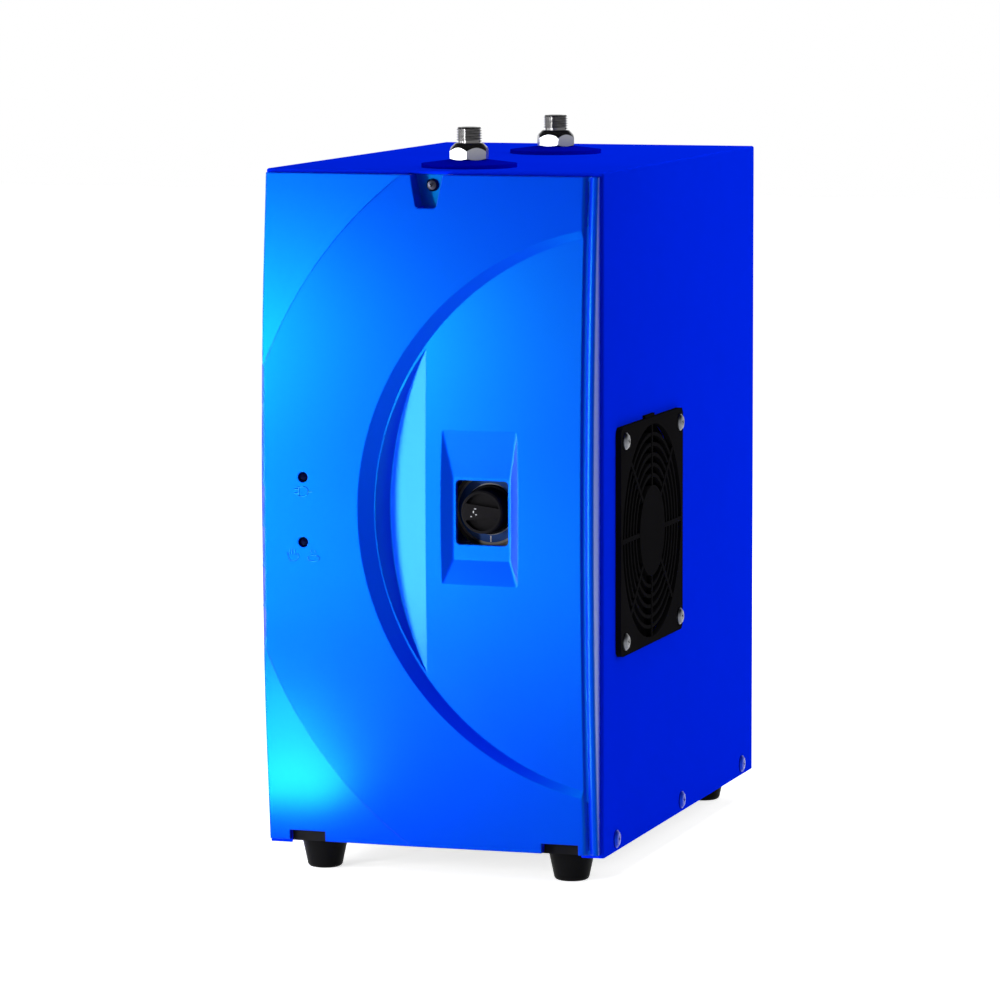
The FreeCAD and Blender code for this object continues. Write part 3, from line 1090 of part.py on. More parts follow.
def plumbing(pipe_x, pipe_end, compressor_top):
    """Tubes of the refrigerant loop and the two water hoses."""
    wall = "pipe - pipe_wall"
    rows = int(size("fin_rows"))
    drier = revolve("drier_turned", [
        ("0", "0"), ("pipe + 1.5", "0"), ("drier_radius", "8"), ("drier_radius", "drier_long - 8"),
        ("capillary + 1.5", "drier_long"), ("0", "drier_long"),
    ], ("drier_x", "drier_y", "drier_up"), STAND_UP)
    sockets = [cylinder("drier_low_socket", "pipe + slack", "10", ("drier_x", "drier_y", "drier_up - 5")),
               cylinder("drier_top_socket", "capillary + slack", "10",
                        ("drier_x", "drier_y", "drier_up + drier_long - 5"))]
    part(cut("drier_bored", drier, fuse("drier_sockets", sockets)), "filter_drier")

    stub_x, stub_y = size("stub_x"), size("stub_y")
    tank_x, tank_y = size("tank_x"), size("tank_y")
    drier_x, drier_y = size("drier_x"), size("drier_y")
    discharge_x, shell_y = size("discharge_x"), size("shell_y")
    upper, lower = row_height(0), row_height(rows - 1)
    part(tube("discharge", [
        (discharge_x, shell_y, compressor_top + 1.5), (discharge_x, shell_y, upper), (pipe_x, shell_y, upper),
        (pipe_x, pipe_end, upper)], "pipe", wall, 10), "discharge_tube")
    part(tube("liquid", [
        (pipe_x, pipe_end, lower), (pipe_x, drier_y, lower), (drier_x, drier_y, lower),
        (drier_x, drier_y, size("drier_up") + 4.5)], "pipe", wall, 7), "liquid_tube")
    level = size("capillary_level")
    neck = size("tank_up") + size("tank_tall") + 2.5
    part(tube("capillary", [
        (drier_x, drier_y, size("drier_up") + size("drier_long") - 4.5), (drier_x, drier_y, level),
        (tank_x - stub_x, drier_y, level), (tank_x - stub_x, tank_y + stub_y, level),
        (tank_x - stub_x, tank_y + stub_y, neck)], "capillary", "capillary / 2", 8), "capillary_tube")
    level = size("suction_level")
    part(tube("suction", [
        (tank_x + stub_x, tank_y + stub_y, neck), (tank_x + stub_x, tank_y + stub_y, level),
        (size("suction_x"), size("suction_y"), level),
        (size("suction_x"), size("suction_y"), compressor_top + 1.5)],
        "suction", "suction - pipe_wall", 8), "suction_tube")

    start = size("tank_up") + size("tank_tall") + size("foam_out") + 1
    level, end = size("hose_level"), size("tall") - 17
    for word, side, hand in (("front", stub_x, "outlet"), ("rear", -stub_x, "inlet")):
        x, y = size("port_x"), size(f"port_{word}")
        part(tube(f"{hand}_hose", [
            (tank_x + side, tank_y - stub_y, start), (tank_x + side, tank_y - stub_y, level),
            (x, y, level), (x, y, end)], "hose_radius", "hose_bore", size("hose_bend")), f"{hand}_hose")


def back_panel():
    """Flat rear sheet with its intake slots, inlet opening and screw holes."""
    edge = "bend + 1"
    plate = box("panel_plate", f"wide - 2 * ({edge})", "panel_thick", f"tall - 2 * ({edge})",
                (edge, "deep", edge))
    soft = rounded("panel_soft", plate, "guard_corner", lambda e: abs(e.tangentAt(e.FirstParameter).y) > 0.9)
    tools = []
    rows = int(size("slot_rows"))
    for column, x in (("left", "wide / 2 - slot_wide - 6"), ("right", "wide / 2 + 6")):
        for i in range(rows):
            tools.append(box(f"slot_{column}_{i}", "slot_wide", "4 * panel_thick", "slot_tall",
                             (x, "deep - panel_thick", f"slot_low + {i} * slot_pitch")))
    tools.append(box("panel_inlet_hole", "inlet_wide + 0.4", "4 * panel_thick", "inlet_tall + 0.4",
                     ("inlet_x - inlet_wide / 2 - 0.2", "deep - panel_thick", "inlet_up - inlet_tall / 2 - 0.2")))
    for i, (x, z) in enumerate(panel_screw_places()):
        tools.append(cylinder(f"panel_hole_{i}", "side_shank + 0.2", "4 * panel_thick", (x, "deep - panel_thick", z), ALONG_Y))
    for i, x in enumerate(inlet_screw_places()):
        tools.append(cylinder(f"panel_inlet_screw_hole_{i}", "1.65", "4 * panel_thick", (x, "deep - panel_thick", "inlet_up"), ALONG_Y))
    part(cut("panel", soft, fuse("panel_cuts", tools)), "back_panel")


def inlet_screw_places():
    return ["inlet_x - 20", "inlet_x + 20"]


def power_inlet():
    """Flanged appliance inlet with three pins, and its two screws with nuts."""
    face = "deep + panel_thick"
    flange = box("inlet_flange_box", "inlet_flange_wide", "inlet_flange", "inlet_flange_tall",
                 ("inlet_x - inlet_flange_wide / 2", face, "inlet_up - inlet_flange_tall / 2"))
    soft = rounded("inlet_flange_soft", flange, "inlet_round", lambda e: abs(e.tangentAt(e.FirstParameter).y) > 0.9)
    body = box("inlet_body", "inlet_wide", "inlet_deep + 1", "inlet_tall",
               ("inlet_x - inlet_wide / 2", f"{face} - inlet_deep", "inlet_up - inlet_tall / 2"))
    cavity = box("inlet_cavity", "inlet_wide - 4.3", "inlet_deep", "inlet_tall - 4.2",
                 ("inlet_x - inlet_wide / 2 + 2.15", f"{face} + inlet_flange - 16",
                  "inlet_up - inlet_tall / 2 + 2.1"))
    tools = [cavity]
    for i, x in enumerate(inlet_screw_places()):
        tools.append(cylinder(f"inlet_screw_hole_{i}", "1.65", "20", (x, f"{face} - 5", "inlet_up"), ALONG_Y))
    bottom = f"{face} + inlet_flange - 16"
    pins = []
    for word, x, z in (("left", "inlet_x - 7", "inlet_up - 2"), ("right", "inlet_x + 7", "inlet_up - 2"),
                       ("earth", "inlet_x", "inlet_up + 2")):
        tools.append(box(f"pin_slot_{word}", "2.1", "20", "4.1", (f"{x} - 1.05", f"{bottom} - 17", f"{z} - 2.05")))
        pins.append(box(f"pin_{word}", "2", "inlet_deep + 4", "4",
                        (f"{x} - 1", f"{face} - inlet_deep - 6", f"{z} - 2")))
    part(cut("inlet", fuse("inlet_whole", [soft, body]), fuse("inlet_cuts", tools)), "power_inlet")
    part(group("pins_of_inlet", pins), "inlet_pins")
    screws = [pan_screw(f"inlet_screw_{i}", (x, f"{face} + inlet_flange", "inlet_up"), HEAD_BACK,
                        "2.9", "inlet_head", "1.5", "inlet_flange + panel_thick + 6")
              for i, x in enumerate(inlet_screw_places())]
    part(group("screws_of_inlet", screws), "inlet_screws")
    nuts = []
    for i, x in enumerate(inlet_screw_places()):
        nut = doc.addObject("Part::Prism", f"inlet_nut_hex_{i}")
        nut.Polygon = 6
        bind(nut, Circumradius="3.2", Height="2.4")
        place(nut, (x, "deep - 2.4", "inlet_up"), ALONG_Y)
        hole = cylinder(f"inlet_nut_bore_{i}", "1.55", "6", (x, "deep - 4", "inlet_up"), ALONG_Y)
        nuts.append(cut(f"inlet_nut_{i}", nut, hole))
    part(group("nuts_of_inlet", nuts), "inlet_nuts")
    case = box("junction_case", "box_wide", "box_deep", "box_tall", ("20", "deep - box_deep", "tall - 70"))
    part(rounded("junction_soft", case, "thermostat_round", lambda e: e.CenterOfMass.y < size("deep") - 1),
         "junction_box")


def chiller():
    """Every piece, in the order that it would be put together."""
    housing()
    base_tray()
    feet()
    tank()
    pipe_x, pipe_end = condenser()
    plumbing(pipe_x, pipe_end, compressor())
    fan()
    fan_guard()
    grommets_and_ports()
    controls()
    front_cover()
    indicators()
    top_rail()
    back_panel()
    power_inlet()
    cabinet_screws()


chiller()

# The origin goes under the middle of the object, on the plane that the feet stand on
FRONT = "-(deep + panel_thick + inlet_flange + inlet_head - bulge) / 2"
for item in PARTS:
    place(item, ("-wide / 2", FRONT, "stand"))
doc.recompute()

for item in doc.Objects:
    if "Invalid" in item.State or "Error" in item.State:
        raise RuntimeError(f"{item.Label} did not build")
for item in PARTS:
    if item.Shape.isNull() or not item.Shape.isValid():
        raise RuntimeError(f"{item.Label} has no sound shape")

os.makedirs("parts", exist_ok=True)
for item in PARTS:
    item.Shape.exportStep(f"parts/{item.Label}.step")
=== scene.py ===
"""Looks of the water chiller: paints, prints, pipe threads and screw recesses round the CAD frame."""
import json
import math

import bpy
from mathutils import Matrix, Vector

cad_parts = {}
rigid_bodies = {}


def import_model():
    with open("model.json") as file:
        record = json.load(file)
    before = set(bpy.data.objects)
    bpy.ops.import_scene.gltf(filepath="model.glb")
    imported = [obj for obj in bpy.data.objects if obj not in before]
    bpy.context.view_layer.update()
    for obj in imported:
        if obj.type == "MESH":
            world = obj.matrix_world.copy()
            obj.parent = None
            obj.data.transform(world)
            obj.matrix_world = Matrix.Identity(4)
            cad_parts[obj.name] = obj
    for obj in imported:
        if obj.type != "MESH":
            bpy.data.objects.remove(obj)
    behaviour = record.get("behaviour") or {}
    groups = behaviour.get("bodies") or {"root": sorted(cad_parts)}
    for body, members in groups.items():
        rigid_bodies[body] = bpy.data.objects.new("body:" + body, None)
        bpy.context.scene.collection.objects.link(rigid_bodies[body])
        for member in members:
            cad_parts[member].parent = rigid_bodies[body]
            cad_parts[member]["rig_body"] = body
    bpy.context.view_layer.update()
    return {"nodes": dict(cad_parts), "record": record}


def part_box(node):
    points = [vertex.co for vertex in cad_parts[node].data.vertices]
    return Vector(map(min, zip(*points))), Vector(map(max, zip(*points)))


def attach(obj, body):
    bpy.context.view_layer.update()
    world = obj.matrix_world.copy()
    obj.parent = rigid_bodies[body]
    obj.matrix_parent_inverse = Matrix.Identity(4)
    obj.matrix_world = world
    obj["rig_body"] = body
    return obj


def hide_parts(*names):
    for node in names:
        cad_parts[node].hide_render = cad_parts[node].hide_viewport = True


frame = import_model()

# Sizes in millimetres from the housing's lower front-left corner: u right, v back, w up
MM = 0.001
WIDE, TALL = 183.0, 355.0
COVER_BULGE, COVER_BOW = 15.0, 9.5
BOW_RADIUS = (TALL ** 2 / 4 + COVER_BOW ** 2) / (2 * COVER_BOW)
KNOB = (120.0, 179.5)
DIAL_RADIUS, DIAL_FRONT = 20.6, 6.9
PORT_U, PORTS = 98.5, {"outlet_fitting": 39.0, "inlet_fitting": 195.0}
NECK = TALL + 12.6
THREAD_CREST, THREAD_ROOT, THREAD_PITCH, THREAD_TURNS = 6.58, 5.72, 1.337, 5
FAN, FAN_HOLES = (82.0, 162.0), 105.0
SIGN_LINE, SIGN_SINK = 0.42, 0.55
PHOTO_PIXELS, FOCAL_PIXELS, SENSOR = 1000, 5376.5, 36.0
EYE = (953.1, -2636.1, 498.8)
YAW, PITCH, ROLL = -17.397, -6.477, -0.114
HOUSING_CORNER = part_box("housing")[0]


def at(u, v, w):
    """Place in metres in the shared frame, from millimetres off the housing's corner."""
    return HOUSING_CORNER + Vector((u, v, w)) * MM


def cover_face(w):
    """How far forward the bowed cover stands at a height."""
    return -COVER_BULGE + BOW_RADIUS - math.sqrt(BOW_RADIUS ** 2 - (w - TALL / 2) ** 2)


# Finishes

def finish_material(name):
    material = bpy.data.materials.new(name)
    material.use_nodes = True
    return material, material.node_tree, material.node_tree.nodes["Principled BSDF"]


def link(tree, source, output, target, entry):
    tree.links.new(source.outputs[output], target.inputs[entry])


def noise(tree, coordinates, scale, detail):
    pattern = tree.nodes.new("ShaderNodeTexNoise")
    pattern.inputs["Scale"].default_value = scale
    pattern.inputs["Detail"].default_value = detail
    link(tree, coordinates, "Object", pattern, "Vector")
    return pattern


def finish(name, colour, gloss, grain=(900, 0.00002), drift=0.06, uneven=0.05, **settings):
    """A finish whose colour and gloss drift a little over the piece, with a fine grain of bumps."""
    material, tree, shader = finish_material(name)
    coordinates = tree.nodes.new("ShaderNodeTexCoord")
    broad = noise(tree, coordinates, 16, 2)
    shades = tree.nodes.new("ShaderNodeValToRGB")
    shades.color_ramp.elements[0].position = 0.3
    shades.color_ramp.elements[1].position = 0.7
    shades.color_ramp.elements[0].color = (*[c * (1 - drift) for c in colour], 1)
    shades.color_ramp.elements[1].color = (*[min(1, c * (1 + drift)) for c in colour], 1)
    link(tree, broad, "Fac", shades, "Fac")
    link(tree, shades, "Color", shader, "Base Color")
    sheen = tree.nodes.new("ShaderNodeMapRange")
    sheen.inputs["From Min"].default_value, sheen.inputs["From Max"].default_value = 0.3, 0.7
    sheen.inputs["To Min"].default_value = gloss * (1 - uneven)
    sheen.inputs["To Max"].default_value = gloss * (1 + uneven)
    link(tree, broad, "Fac", sheen, "Value")
    link(tree, sheen, "Result", shader, "Roughness")
    fine = noise(tree, coordinates, grain[0], 3)
    bump = tree.nodes.new("ShaderNodeBump")
    bump.inputs["Strength"].default_value = 1
    bump.inputs["Distance"].default_value = grain[1]
    link(tree, fine, "Fac", bump, "Height")
    link(tree, bump, "Normal", shader, "Normal")
    for word, value in settings.items():
        shader.inputs[word.replace("_", " ")].default_value = value
    return material


def distance_from(tree, centre, radius):
    """Distance from an axis along Y, where 1 is the radius."""
    coordinates = tree.nodes.new("ShaderNodeTexCoord")
    middle = at(centre[0], 0, centre[1])
    mapping = tree.nodes.new("ShaderNodeMapping")
    scale = 1 / (radius * MM)
    mapping.inputs["Scale"].default_value = (scale, 0, scale)
    mapping.inputs["Location"].default_value = (-middle.x * scale, 0, -middle.z * scale)
    length = tree.nodes.new("ShaderNodeVectorMath")
    length.operation = "LENGTH"
    link(tree, coordinates, "Object", mapping, "Vector")
    link(tree, mapping, "Vector", length, 0)
    return length


def dial_print():
    """Printed dial: a grey ring, a dark blue band and a darker grey rim, all printed darker than the print
    itself as painted shade inside the window.
    """
    material = finish("dial_print", (0.02, 0.06, 0.22), 0.38, uneven=0.1, Specular_IOR_Level=0.05)
    tree = material.node_tree
    rings = tree.nodes.new("ShaderNodeValToRGB")
    rings.color_ramp.interpolation = "CONSTANT"
    # ring colours are partly the dial's print and partly painted shade: they are darkened to stand for the
    # shade inside the window
    print_and_shade_zones = [(0.0, (0.32, 0.33, 0.36)), (0.655, (0.014, 0.05, 0.19)), (0.845, (0.22, 0.21, 0.19)),
             (0.90, (0.11, 0.10, 0.08))]
    for i, (start, colour) in enumerate(print_and_shade_zones):
        band = rings.color_ramp.elements[i] if i < 2 else rings.color_ramp.elements.new(start)
        band.position, band.color = start, (*colour, 1)
    link(tree, distance_from(tree, KNOB, DIAL_RADIUS), "Value", rings, "Fac")
    link(tree, rings, "Color", tree.nodes["Principled BSDF"], "Base Color")
    return material


def round_edges(material, radius):
    """Edges catch light as if rounded by a radius in millimetres."""
    tree = material.node_tree
    rounded = tree.nodes.new("ShaderNodeBevel")
    rounded.samples = 4
    rounded.inputs["Radius"].default_value = radius * MM
    link(tree, rounded, "Normal", tree.nodes["Bump"], "Normal")


CYAN = (0.0, 1.0, 1.0, 1)
FINISHES = {
    "blue_paint": finish("blue_paint", (0.0, 0.021, 0.93), 0.42, (700, 0.00001), 0.015, 0.08,
                         Specular_IOR_Level=0.0),
    "blue_plastic": finish("blue_plastic", (0.0, 0.0125, 0.57), 0.27, (1300, 0.000003), 0.01, 0.01,
                           Specular_IOR_Level=0.5, Specular_Tint=CYAN),
    "blue_grommet": finish("blue_grommet", (0.0, 0.003, 0.46), 0.35, (900, 0.00001), 0.04, 0.1,
                           Specular_IOR_Level=0.0),
    "blue_screw": finish("blue_screw", (0.0, 0.03, 0.45), 0.25, (500, 0.00001), Metallic=0.6,
                         Specular_IOR_Level=0.1),
    "black_paint": finish("black_paint", (0.008, 0.008, 0.009), 0.5, (700, 0.00002),
                          Specular_IOR_Level=0.02),
    "black_plastic": finish("black_plastic", (0.0085, 0.0082, 0.009), 0.42, (1500, 0.00002), 0.1, 0.1,
                            Specular_IOR_Level=0.0),
    "black_screw": finish("black_screw", (0.012, 0.012, 0.03), 0.25, (500, 0.00001), Metallic=0.6),
    "dial_print": dial_print(),
    "nickel": finish("nickel", (0.30, 0.305, 0.315), 0.23, (300, 0.000006), 0.03, 0.15, Metallic=1.0),
    "stainless": finish("stainless", (0.56, 0.56, 0.57), 0.33, (400, 0.00001), 0.05, 0.1, Metallic=1.0),
    "zinc": finish("zinc", (0.66, 0.67, 0.69), 0.22, (500, 0.00001), 0.06, 0.15, Metallic=1.0),
    "fin_aluminium": finish("fin_aluminium", (0.62, 0.63, 0.65), 0.45, (600, 0.00002), Metallic=1.0),
    "copper": finish("copper", (0.74, 0.33, 0.18), 0.3, (250, 0.00001), 0.12, 0.2, Metallic=1.0),
    "brass": finish("brass", (0.74, 0.55, 0.22), 0.28, (400, 0.00001), 0.06, 0.15, Metallic=1.0),
    "compressor_black": finish("compressor_black", (0.010, 0.010, 0.010), 0.25, (300, 0.00003)),
    "rubber": finish("rubber", (0.004, 0.004, 0.0045), 0.4, (800, 0.00003), 0.15, 0.15,
                     Specular_IOR_Level=0.03),
    "foam": finish("foam", (0.74, 0.68, 0.48), 0.9, (260, 0.0005), 0.1),
    "board_green": finish("board_green", (0.01, 0.12, 0.04), 0.38, (500, 0.00002)),
    "lens": finish("lens", (0.001, 0.001, 0.012), 0.08, (200, 0.000004), 0.1, 0.1,
                   Specular_IOR_Level=0.08, Specular_Tint=(0.1, 0.3, 1.0, 1)),
    "hose": finish("hose", (0.55, 0.57, 0.6), 0.42, (500, 0.00002)),
}
round_edges(FINISHES["blue_plastic"], 0.9)
SLOTS = {row["node"]: row["material_slot"] for row in frame["record"]["subparts"]}


# Modelling, as by hand

def take(piece):
    """Only this piece is selected and active."""
    bpy.ops.object.select_all(action="DESELECT")
    piece.select_set(True)
    bpy.context.view_layer.objects.active = piece


def edit(piece, kind="VERT", chosen=None):
    """Opens a piece in edit mode with all of it selected, or just what passes a test of its place."""
    take(piece)
    mesh = piece.data
    for part in (*mesh.vertices, *mesh.edges, *mesh.polygons):
        part.select = chosen is None
    if chosen and kind == "VERT":
        for point in mesh.vertices:
            point.select = chosen(point.co)
    elif chosen:
        for face in mesh.polygons:
            face.select = chosen(face.center)
    bpy.context.tool_settings.mesh_select_mode = (kind == "VERT", kind == "EDGE", kind == "FACE")
    bpy.ops.object.mode_set(mode="EDIT")


def done():
    bpy.ops.object.mode_set(mode="OBJECT")


def apply(piece, kind, **settings):
    """Gives a piece a modifier and applies it."""
    take(piece)
    modifier = piece.modifiers.new(kind.lower(), kind)
    for word, value in settings.items():
        setattr(modifier, word, value)
    bpy.ops.object.modifier_apply(modifier=modifier.name)


def soften(piece, angle):
    take(piece)
    bpy.ops.object.shade_smooth_by_angle(angle=math.radians(angle))


def join(piece, *others):
    take(piece)
    for other in others:
        other.select_set(True)
    bpy.ops.object.join()


def dress(piece, body, slot):
    """A finished piece gets its material and moves with its body."""
    piece.data.materials.clear()
    piece.data.materials.append(FINISHES[slot])
    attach(piece, body)
    return piece


def copied(node_name, name):
    """A CAD piece's surface as a mesh of its own, with its loose triangles joined."""
    node = frame["nodes"][node_name]
    piece = bpy.data.objects.new(name, node.data.copy())
    bpy.context.scene.collection.objects.link(piece)
    edit(piece)
    bpy.ops.mesh.remove_doubles(threshold=0.000004)
    done()
    take(piece)
    if piece.data.has_custom_normals:
        bpy.ops.mesh.customdata_custom_splitnormals_clear()
    return piece


def stand_in(piece, node_name, angle=32):
    """The finished copy takes its CAD piece's place."""
    soften(piece, angle)
    dress(piece, frame["nodes"][node_name]["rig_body"], SLOTS[node_name])
    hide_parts(node_name)
    return piece


def cross_tool(place, outward, span, wide, deep):
    """Tapered cross that cuts a driver's recess, pointing along the screw."""
    bars = []
    for turn in (0, 90):
        bpy.ops.object.select_all(action="DESELECT")
        bpy.ops.mesh.primitive_cube_add(size=1, location=(0, 0, 0))
        bar = bpy.context.active_object
        edit(bar)
        bpy.ops.transform.resize(value=(span * MM, wide * MM, 2 * deep * MM), center_override=(0, 0, 0))
        done()
        edit(bar, "FACE", lambda c: c.z < -0.5 * deep * MM)
        bpy.ops.transform.resize(value=(0.35, 0.5, 1), center_override=(0, 0, -deep * MM))
        done()
        edit(bar)
        bpy.ops.transform.rotate(value=math.radians(turn + 20), orient_axis="Z", center_override=(0, 0, 0))
        done()
        bars.append(bar)
    join(*bars)
    bars[0].data.transform(Matrix.Translation(place) @ outward.to_track_quat("Z", "Y").to_matrix().to_4x4())
    return bars[0]


def carve(piece, tools):
    """Cuts tools out of a piece and throws them away."""
    join(*tools)
    apply(piece, "BOOLEAN", operation="DIFFERENCE", solver="EXACT", use_self=True, object=tools[0])
    bpy.data.objects.remove(tools[0])


def screw_heads(node_name, name, outward, heads, span, wide, deep):
    """The screws of a CAD piece with cross recesses cut into their heads."""
    piece = copied(node_name, name)
    carve(piece, [cross_tool(place, direction, span, wide, deep)
                  for place, direction in zip(heads, outward)])
    return stand_in(piece, node_name, 40)


# Front cover and controls

def stroke(points, thick):
    """One raised stroke of a sign, most of it sunk in the cover's bowed face."""
    line = bpy.data.curves.new("stroke", "CURVE")
    line.dimensions = "3D"
    line.bevel_depth = thick * MM
    line.bevel_resolution = 2
    line.use_fill_caps = True
    path = line.splines.new("POLY")
    path.points.add(len(points) - 1)
    for point, (u, w) in zip(path.points, points):
        point.co = (*at(u, cover_face(w) + SIGN_SINK * thick, w), 1)
    piece = bpy.data.objects.new("stroke", line)
    bpy.context.scene.collection.objects.link(piece)
    take(piece)
    bpy.ops.object.convert(target="MESH")
    return bpy.context.active_object


def arc(u, w, wide, high, start, end, steps=14):
    turns = [math.radians(start + (end - start) * i / steps) for i in range(steps + 1)]
    return [(u + wide * math.cos(t), w + high * math.sin(t)) for t in turns]


def sign_strokes():
    """Plug sign by the upper light, and a hand and a bean under two drops by the lower one."""
    plug = [arc(24.4, 188, 3.0, 2.6, -100, 100),
            [(23.9, 190.6), (21.6, 190.2)], [(23.9, 185.4), (21.6, 185.8)],
            [(22.4, 189.2), (19.8, 189.2)], [(22.4, 187.0), (19.8, 187.0)],
            [(27.4, 188), (29.6, 188)], [(22.3, 190.2), (22.3, 185.9)]]
    hand = [[(16.2, 154.6), (15.4, 155.8), (16.3, 153.2), (17.2, 151.6),
             (20.3, 151.6), (22.0, 153.6), (21.6, 155.4), (20.2, 154.6)],
            [(17.0, 154.8), (16.9, 157.4)], [(18.3, 155), (18.5, 158.1)],
            [(19.6, 155), (20.0, 157.5)]]
    bean = [arc(30.2, 153.2, 3.2, 1.6, 0, 360, 22),
            [(28.9, 156.0), (28.5, 157.5)], [(31.1, 156.0), (30.9, 157.5)]]
    return [stroke(points, SIGN_LINE) for points in (*plug, *hand, *bean)]


def signs():
    strokes = sign_strokes()
    join(*strokes)
    strokes[0].name = "cover_signs"
    soften(strokes[0], 50)
    dress(strokes[0], frame["nodes"]["front_cover"]["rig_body"], "blue_plastic")
    # the signs are moulded in the cover's blue; their darker blue is painted shade round the relief
    strokes[0].data.materials[0] = SIGN_SHADE_BLUE


def knob_prints():
    """The knob's printed marks and its pointer block."""
    u, w = KNOB
    marks = [((u - 3.3, w + 1.7), (1.2, 0.5)), ((u - 4.3, w + 0.1), (0.5, 1.3)),
             ((u - 2.9, w - 1.3), (0.9, 0.45)), ((u - 5.5, w - 2.3), (0.8, 0.45))]
    prints = []
    for place, (wide, high) in marks:
        bpy.ops.object.select_all(action="DESELECT")
        bpy.ops.mesh.primitive_cylinder_add(vertices=16, radius=0.5, depth=1, location=(0, 0, 0),
                                            rotation=(math.pi / 2, 0, 0))
        spot = bpy.context.active_object
        bpy.ops.object.transform_apply(rotation=True)
        edit(spot)
        bpy.ops.transform.resize(value=(wide * MM, 0.06 * MM, high * MM), center_override=(0, 0, 0))
        bpy.ops.transform.translate(value=at(place[0], -9.4, place[1]))
        done()
        prints.append(spot)
    join(*prints)
    prints[0].name = "knob_marks"
    prints[0].data.materials.append(MARK_WHITE)
    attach(prints[0], frame["nodes"]["thermostat_knob"]["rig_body"])

    bpy.ops.object.select_all(action="DESELECT")
    bpy.ops.mesh.primitive_cube_add(size=1, location=(0, 0, 0))
    pointer = bpy.context.active_object
    pointer.name = "knob_pointer"
    edit(pointer)
    bpy.ops.transform.resize(value=(2.2 * MM, 0.8 * MM, 2.4 * MM), center_override=(0, 0, 0))
    bpy.ops.mesh.bevel(offset=0.25 * MM, segments=3, affect="EDGES")
    bpy.ops.transform.translate(value=at(u + 11.9, 3.5, w))
    done()
    soften(pointer, 40)
    pointer.data.materials.append(POINTER_GREY)
    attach(pointer, frame["nodes"]["thermostat_knob"]["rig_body"])


def dial_tick():
    """Raised pale tick under the knob."""
    bpy.ops.object.select_all(action="DESELECT")
    bpy.ops.mesh.primitive_cube_add(size=1, location=(0, 0, 0))
    tick = bpy.context.active_object
    tick.name = "dial_tick"
    edit(tick)
    bpy.ops.transform.resize(value=(0.7 * MM, 0.12 * MM, 3.2 * MM), center_override=(0, 0, 0))
    bpy.ops.mesh.bevel(offset=0.05 * MM, segments=2, affect="EDGES")
    bpy.ops.transform.translate(value=at(KNOB[0], DIAL_FRONT - 0.05, KNOB[1] - 15.6))
    done()
    tick.data.materials.append(MARK_WHITE)
    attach(tick, frame["nodes"]["thermostat_dial"]["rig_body"])


# Water fittings

def thread_ridge(centre, low, turns):
    """Ridge of the pipe thread: a flat profile with a narrow crest, wound up the shank."""
    bpy.ops.object.select_all(action="DESELECT")
    bpy.ops.mesh.primitive_plane_add(size=1, location=(0, 0, 0), rotation=(math.pi / 2, 0, 0))
    ridge = bpy.context.active_object
    bpy.ops.object.transform_apply(rotation=True)
    middle = (THREAD_CREST + THREAD_ROOT - 0.1) / 2
    edit(ridge)
    bpy.ops.transform.resize(value=((THREAD_CREST - THREAD_ROOT + 0.1) * MM, 1, 1.15 * MM),
                             center_override=(0, 0, 0))
    bpy.ops.transform.translate(value=(middle * MM, 0, 0))
    done()
    edit(ridge, "VERT", lambda p: p.x > middle * MM)
    bpy.ops.transform.resize(value=(1, 1, 0.2), center_override=(middle * MM, 0, 0))
    bpy.ops.mesh.select_all(action="SELECT")
    bpy.ops.mesh.delete(type="ONLY_FACE")
    done()
    apply(ridge, "SCREW", axis="Z", angle=2 * math.pi, screw_offset=THREAD_PITCH * MM, iterations=turns,
          steps=44, render_steps=44)
    edit(ridge)
    bpy.ops.mesh.fill_holes(sides=4)
    bpy.ops.mesh.normals_make_consistent(inside=False)
    bpy.ops.transform.translate(value=centre + Vector((0, 0, low * MM)))
    done()
    return ridge


def threaded_fitting(node_name, name, v):
    """Plated hex fitting: the shank is thinned to the thread's root and wound with its ridge; above the
    neck it takes a darker metal as painted shade.
    """
    piece = copied(node_name, name)
    axis = at(PORT_U, v, 0)
    edit(piece, "VERT", lambda p: p.z > at(0, 0, NECK - 0.1).z
         and 6.4 * MM < (p - axis).xy.length < 6.7 * MM)
    bpy.ops.transform.resize(value=(THREAD_ROOT / THREAD_CREST, THREAD_ROOT / THREAD_CREST, 1),
                             center_override=axis)
    done()
    join(piece, thread_ridge(at(PORT_U, v, 0), NECK + 0.9, THREAD_TURNS))
    stand_in(piece, node_name, 28)
    # thread, rim and bore above the neck get a darker metal: painted shade in the thread's grooves and the
    # bore
    piece.data.materials.append(THREAD_PAINTED_SHADE)
    for face in piece.data.polygons:
        if face.center.z > at(0, 0, NECK + 0.1).z:
            face.material_index = 1


# Everything on the cabinet

MARK_WHITE = finish("mark_white", (0.42, 0.43, 0.46), 0.5)
POINTER_GREY = finish("pointer_grey", (0.16, 0.165, 0.19), 0.4)
# darker blue for the moulded signs: painted shade of their relief, not a colour of their own
SIGN_SHADE_BLUE = finish("sign_painted_shade", (0.0, 0.004, 0.26), 0.18, (1300, 0.000003), 0.01, 0.02,
                   Specular_IOR_Level=0.7, Specular_Tint=CYAN)
DULL_CHROME = finish("dull_chrome", (0.13, 0.135, 0.15), 0.3, (500, 0.00001), 0.06, 0.15, Metallic=1.0)
# darker copy of the fitting's metal, painted shade for the thread and bore
THREAD_PAINTED_SHADE = finish("thread_painted_shade", (0.12, 0.118, 0.12), 0.16, (300, 0.00001), 0.1, 0.2, Metallic=1.0)


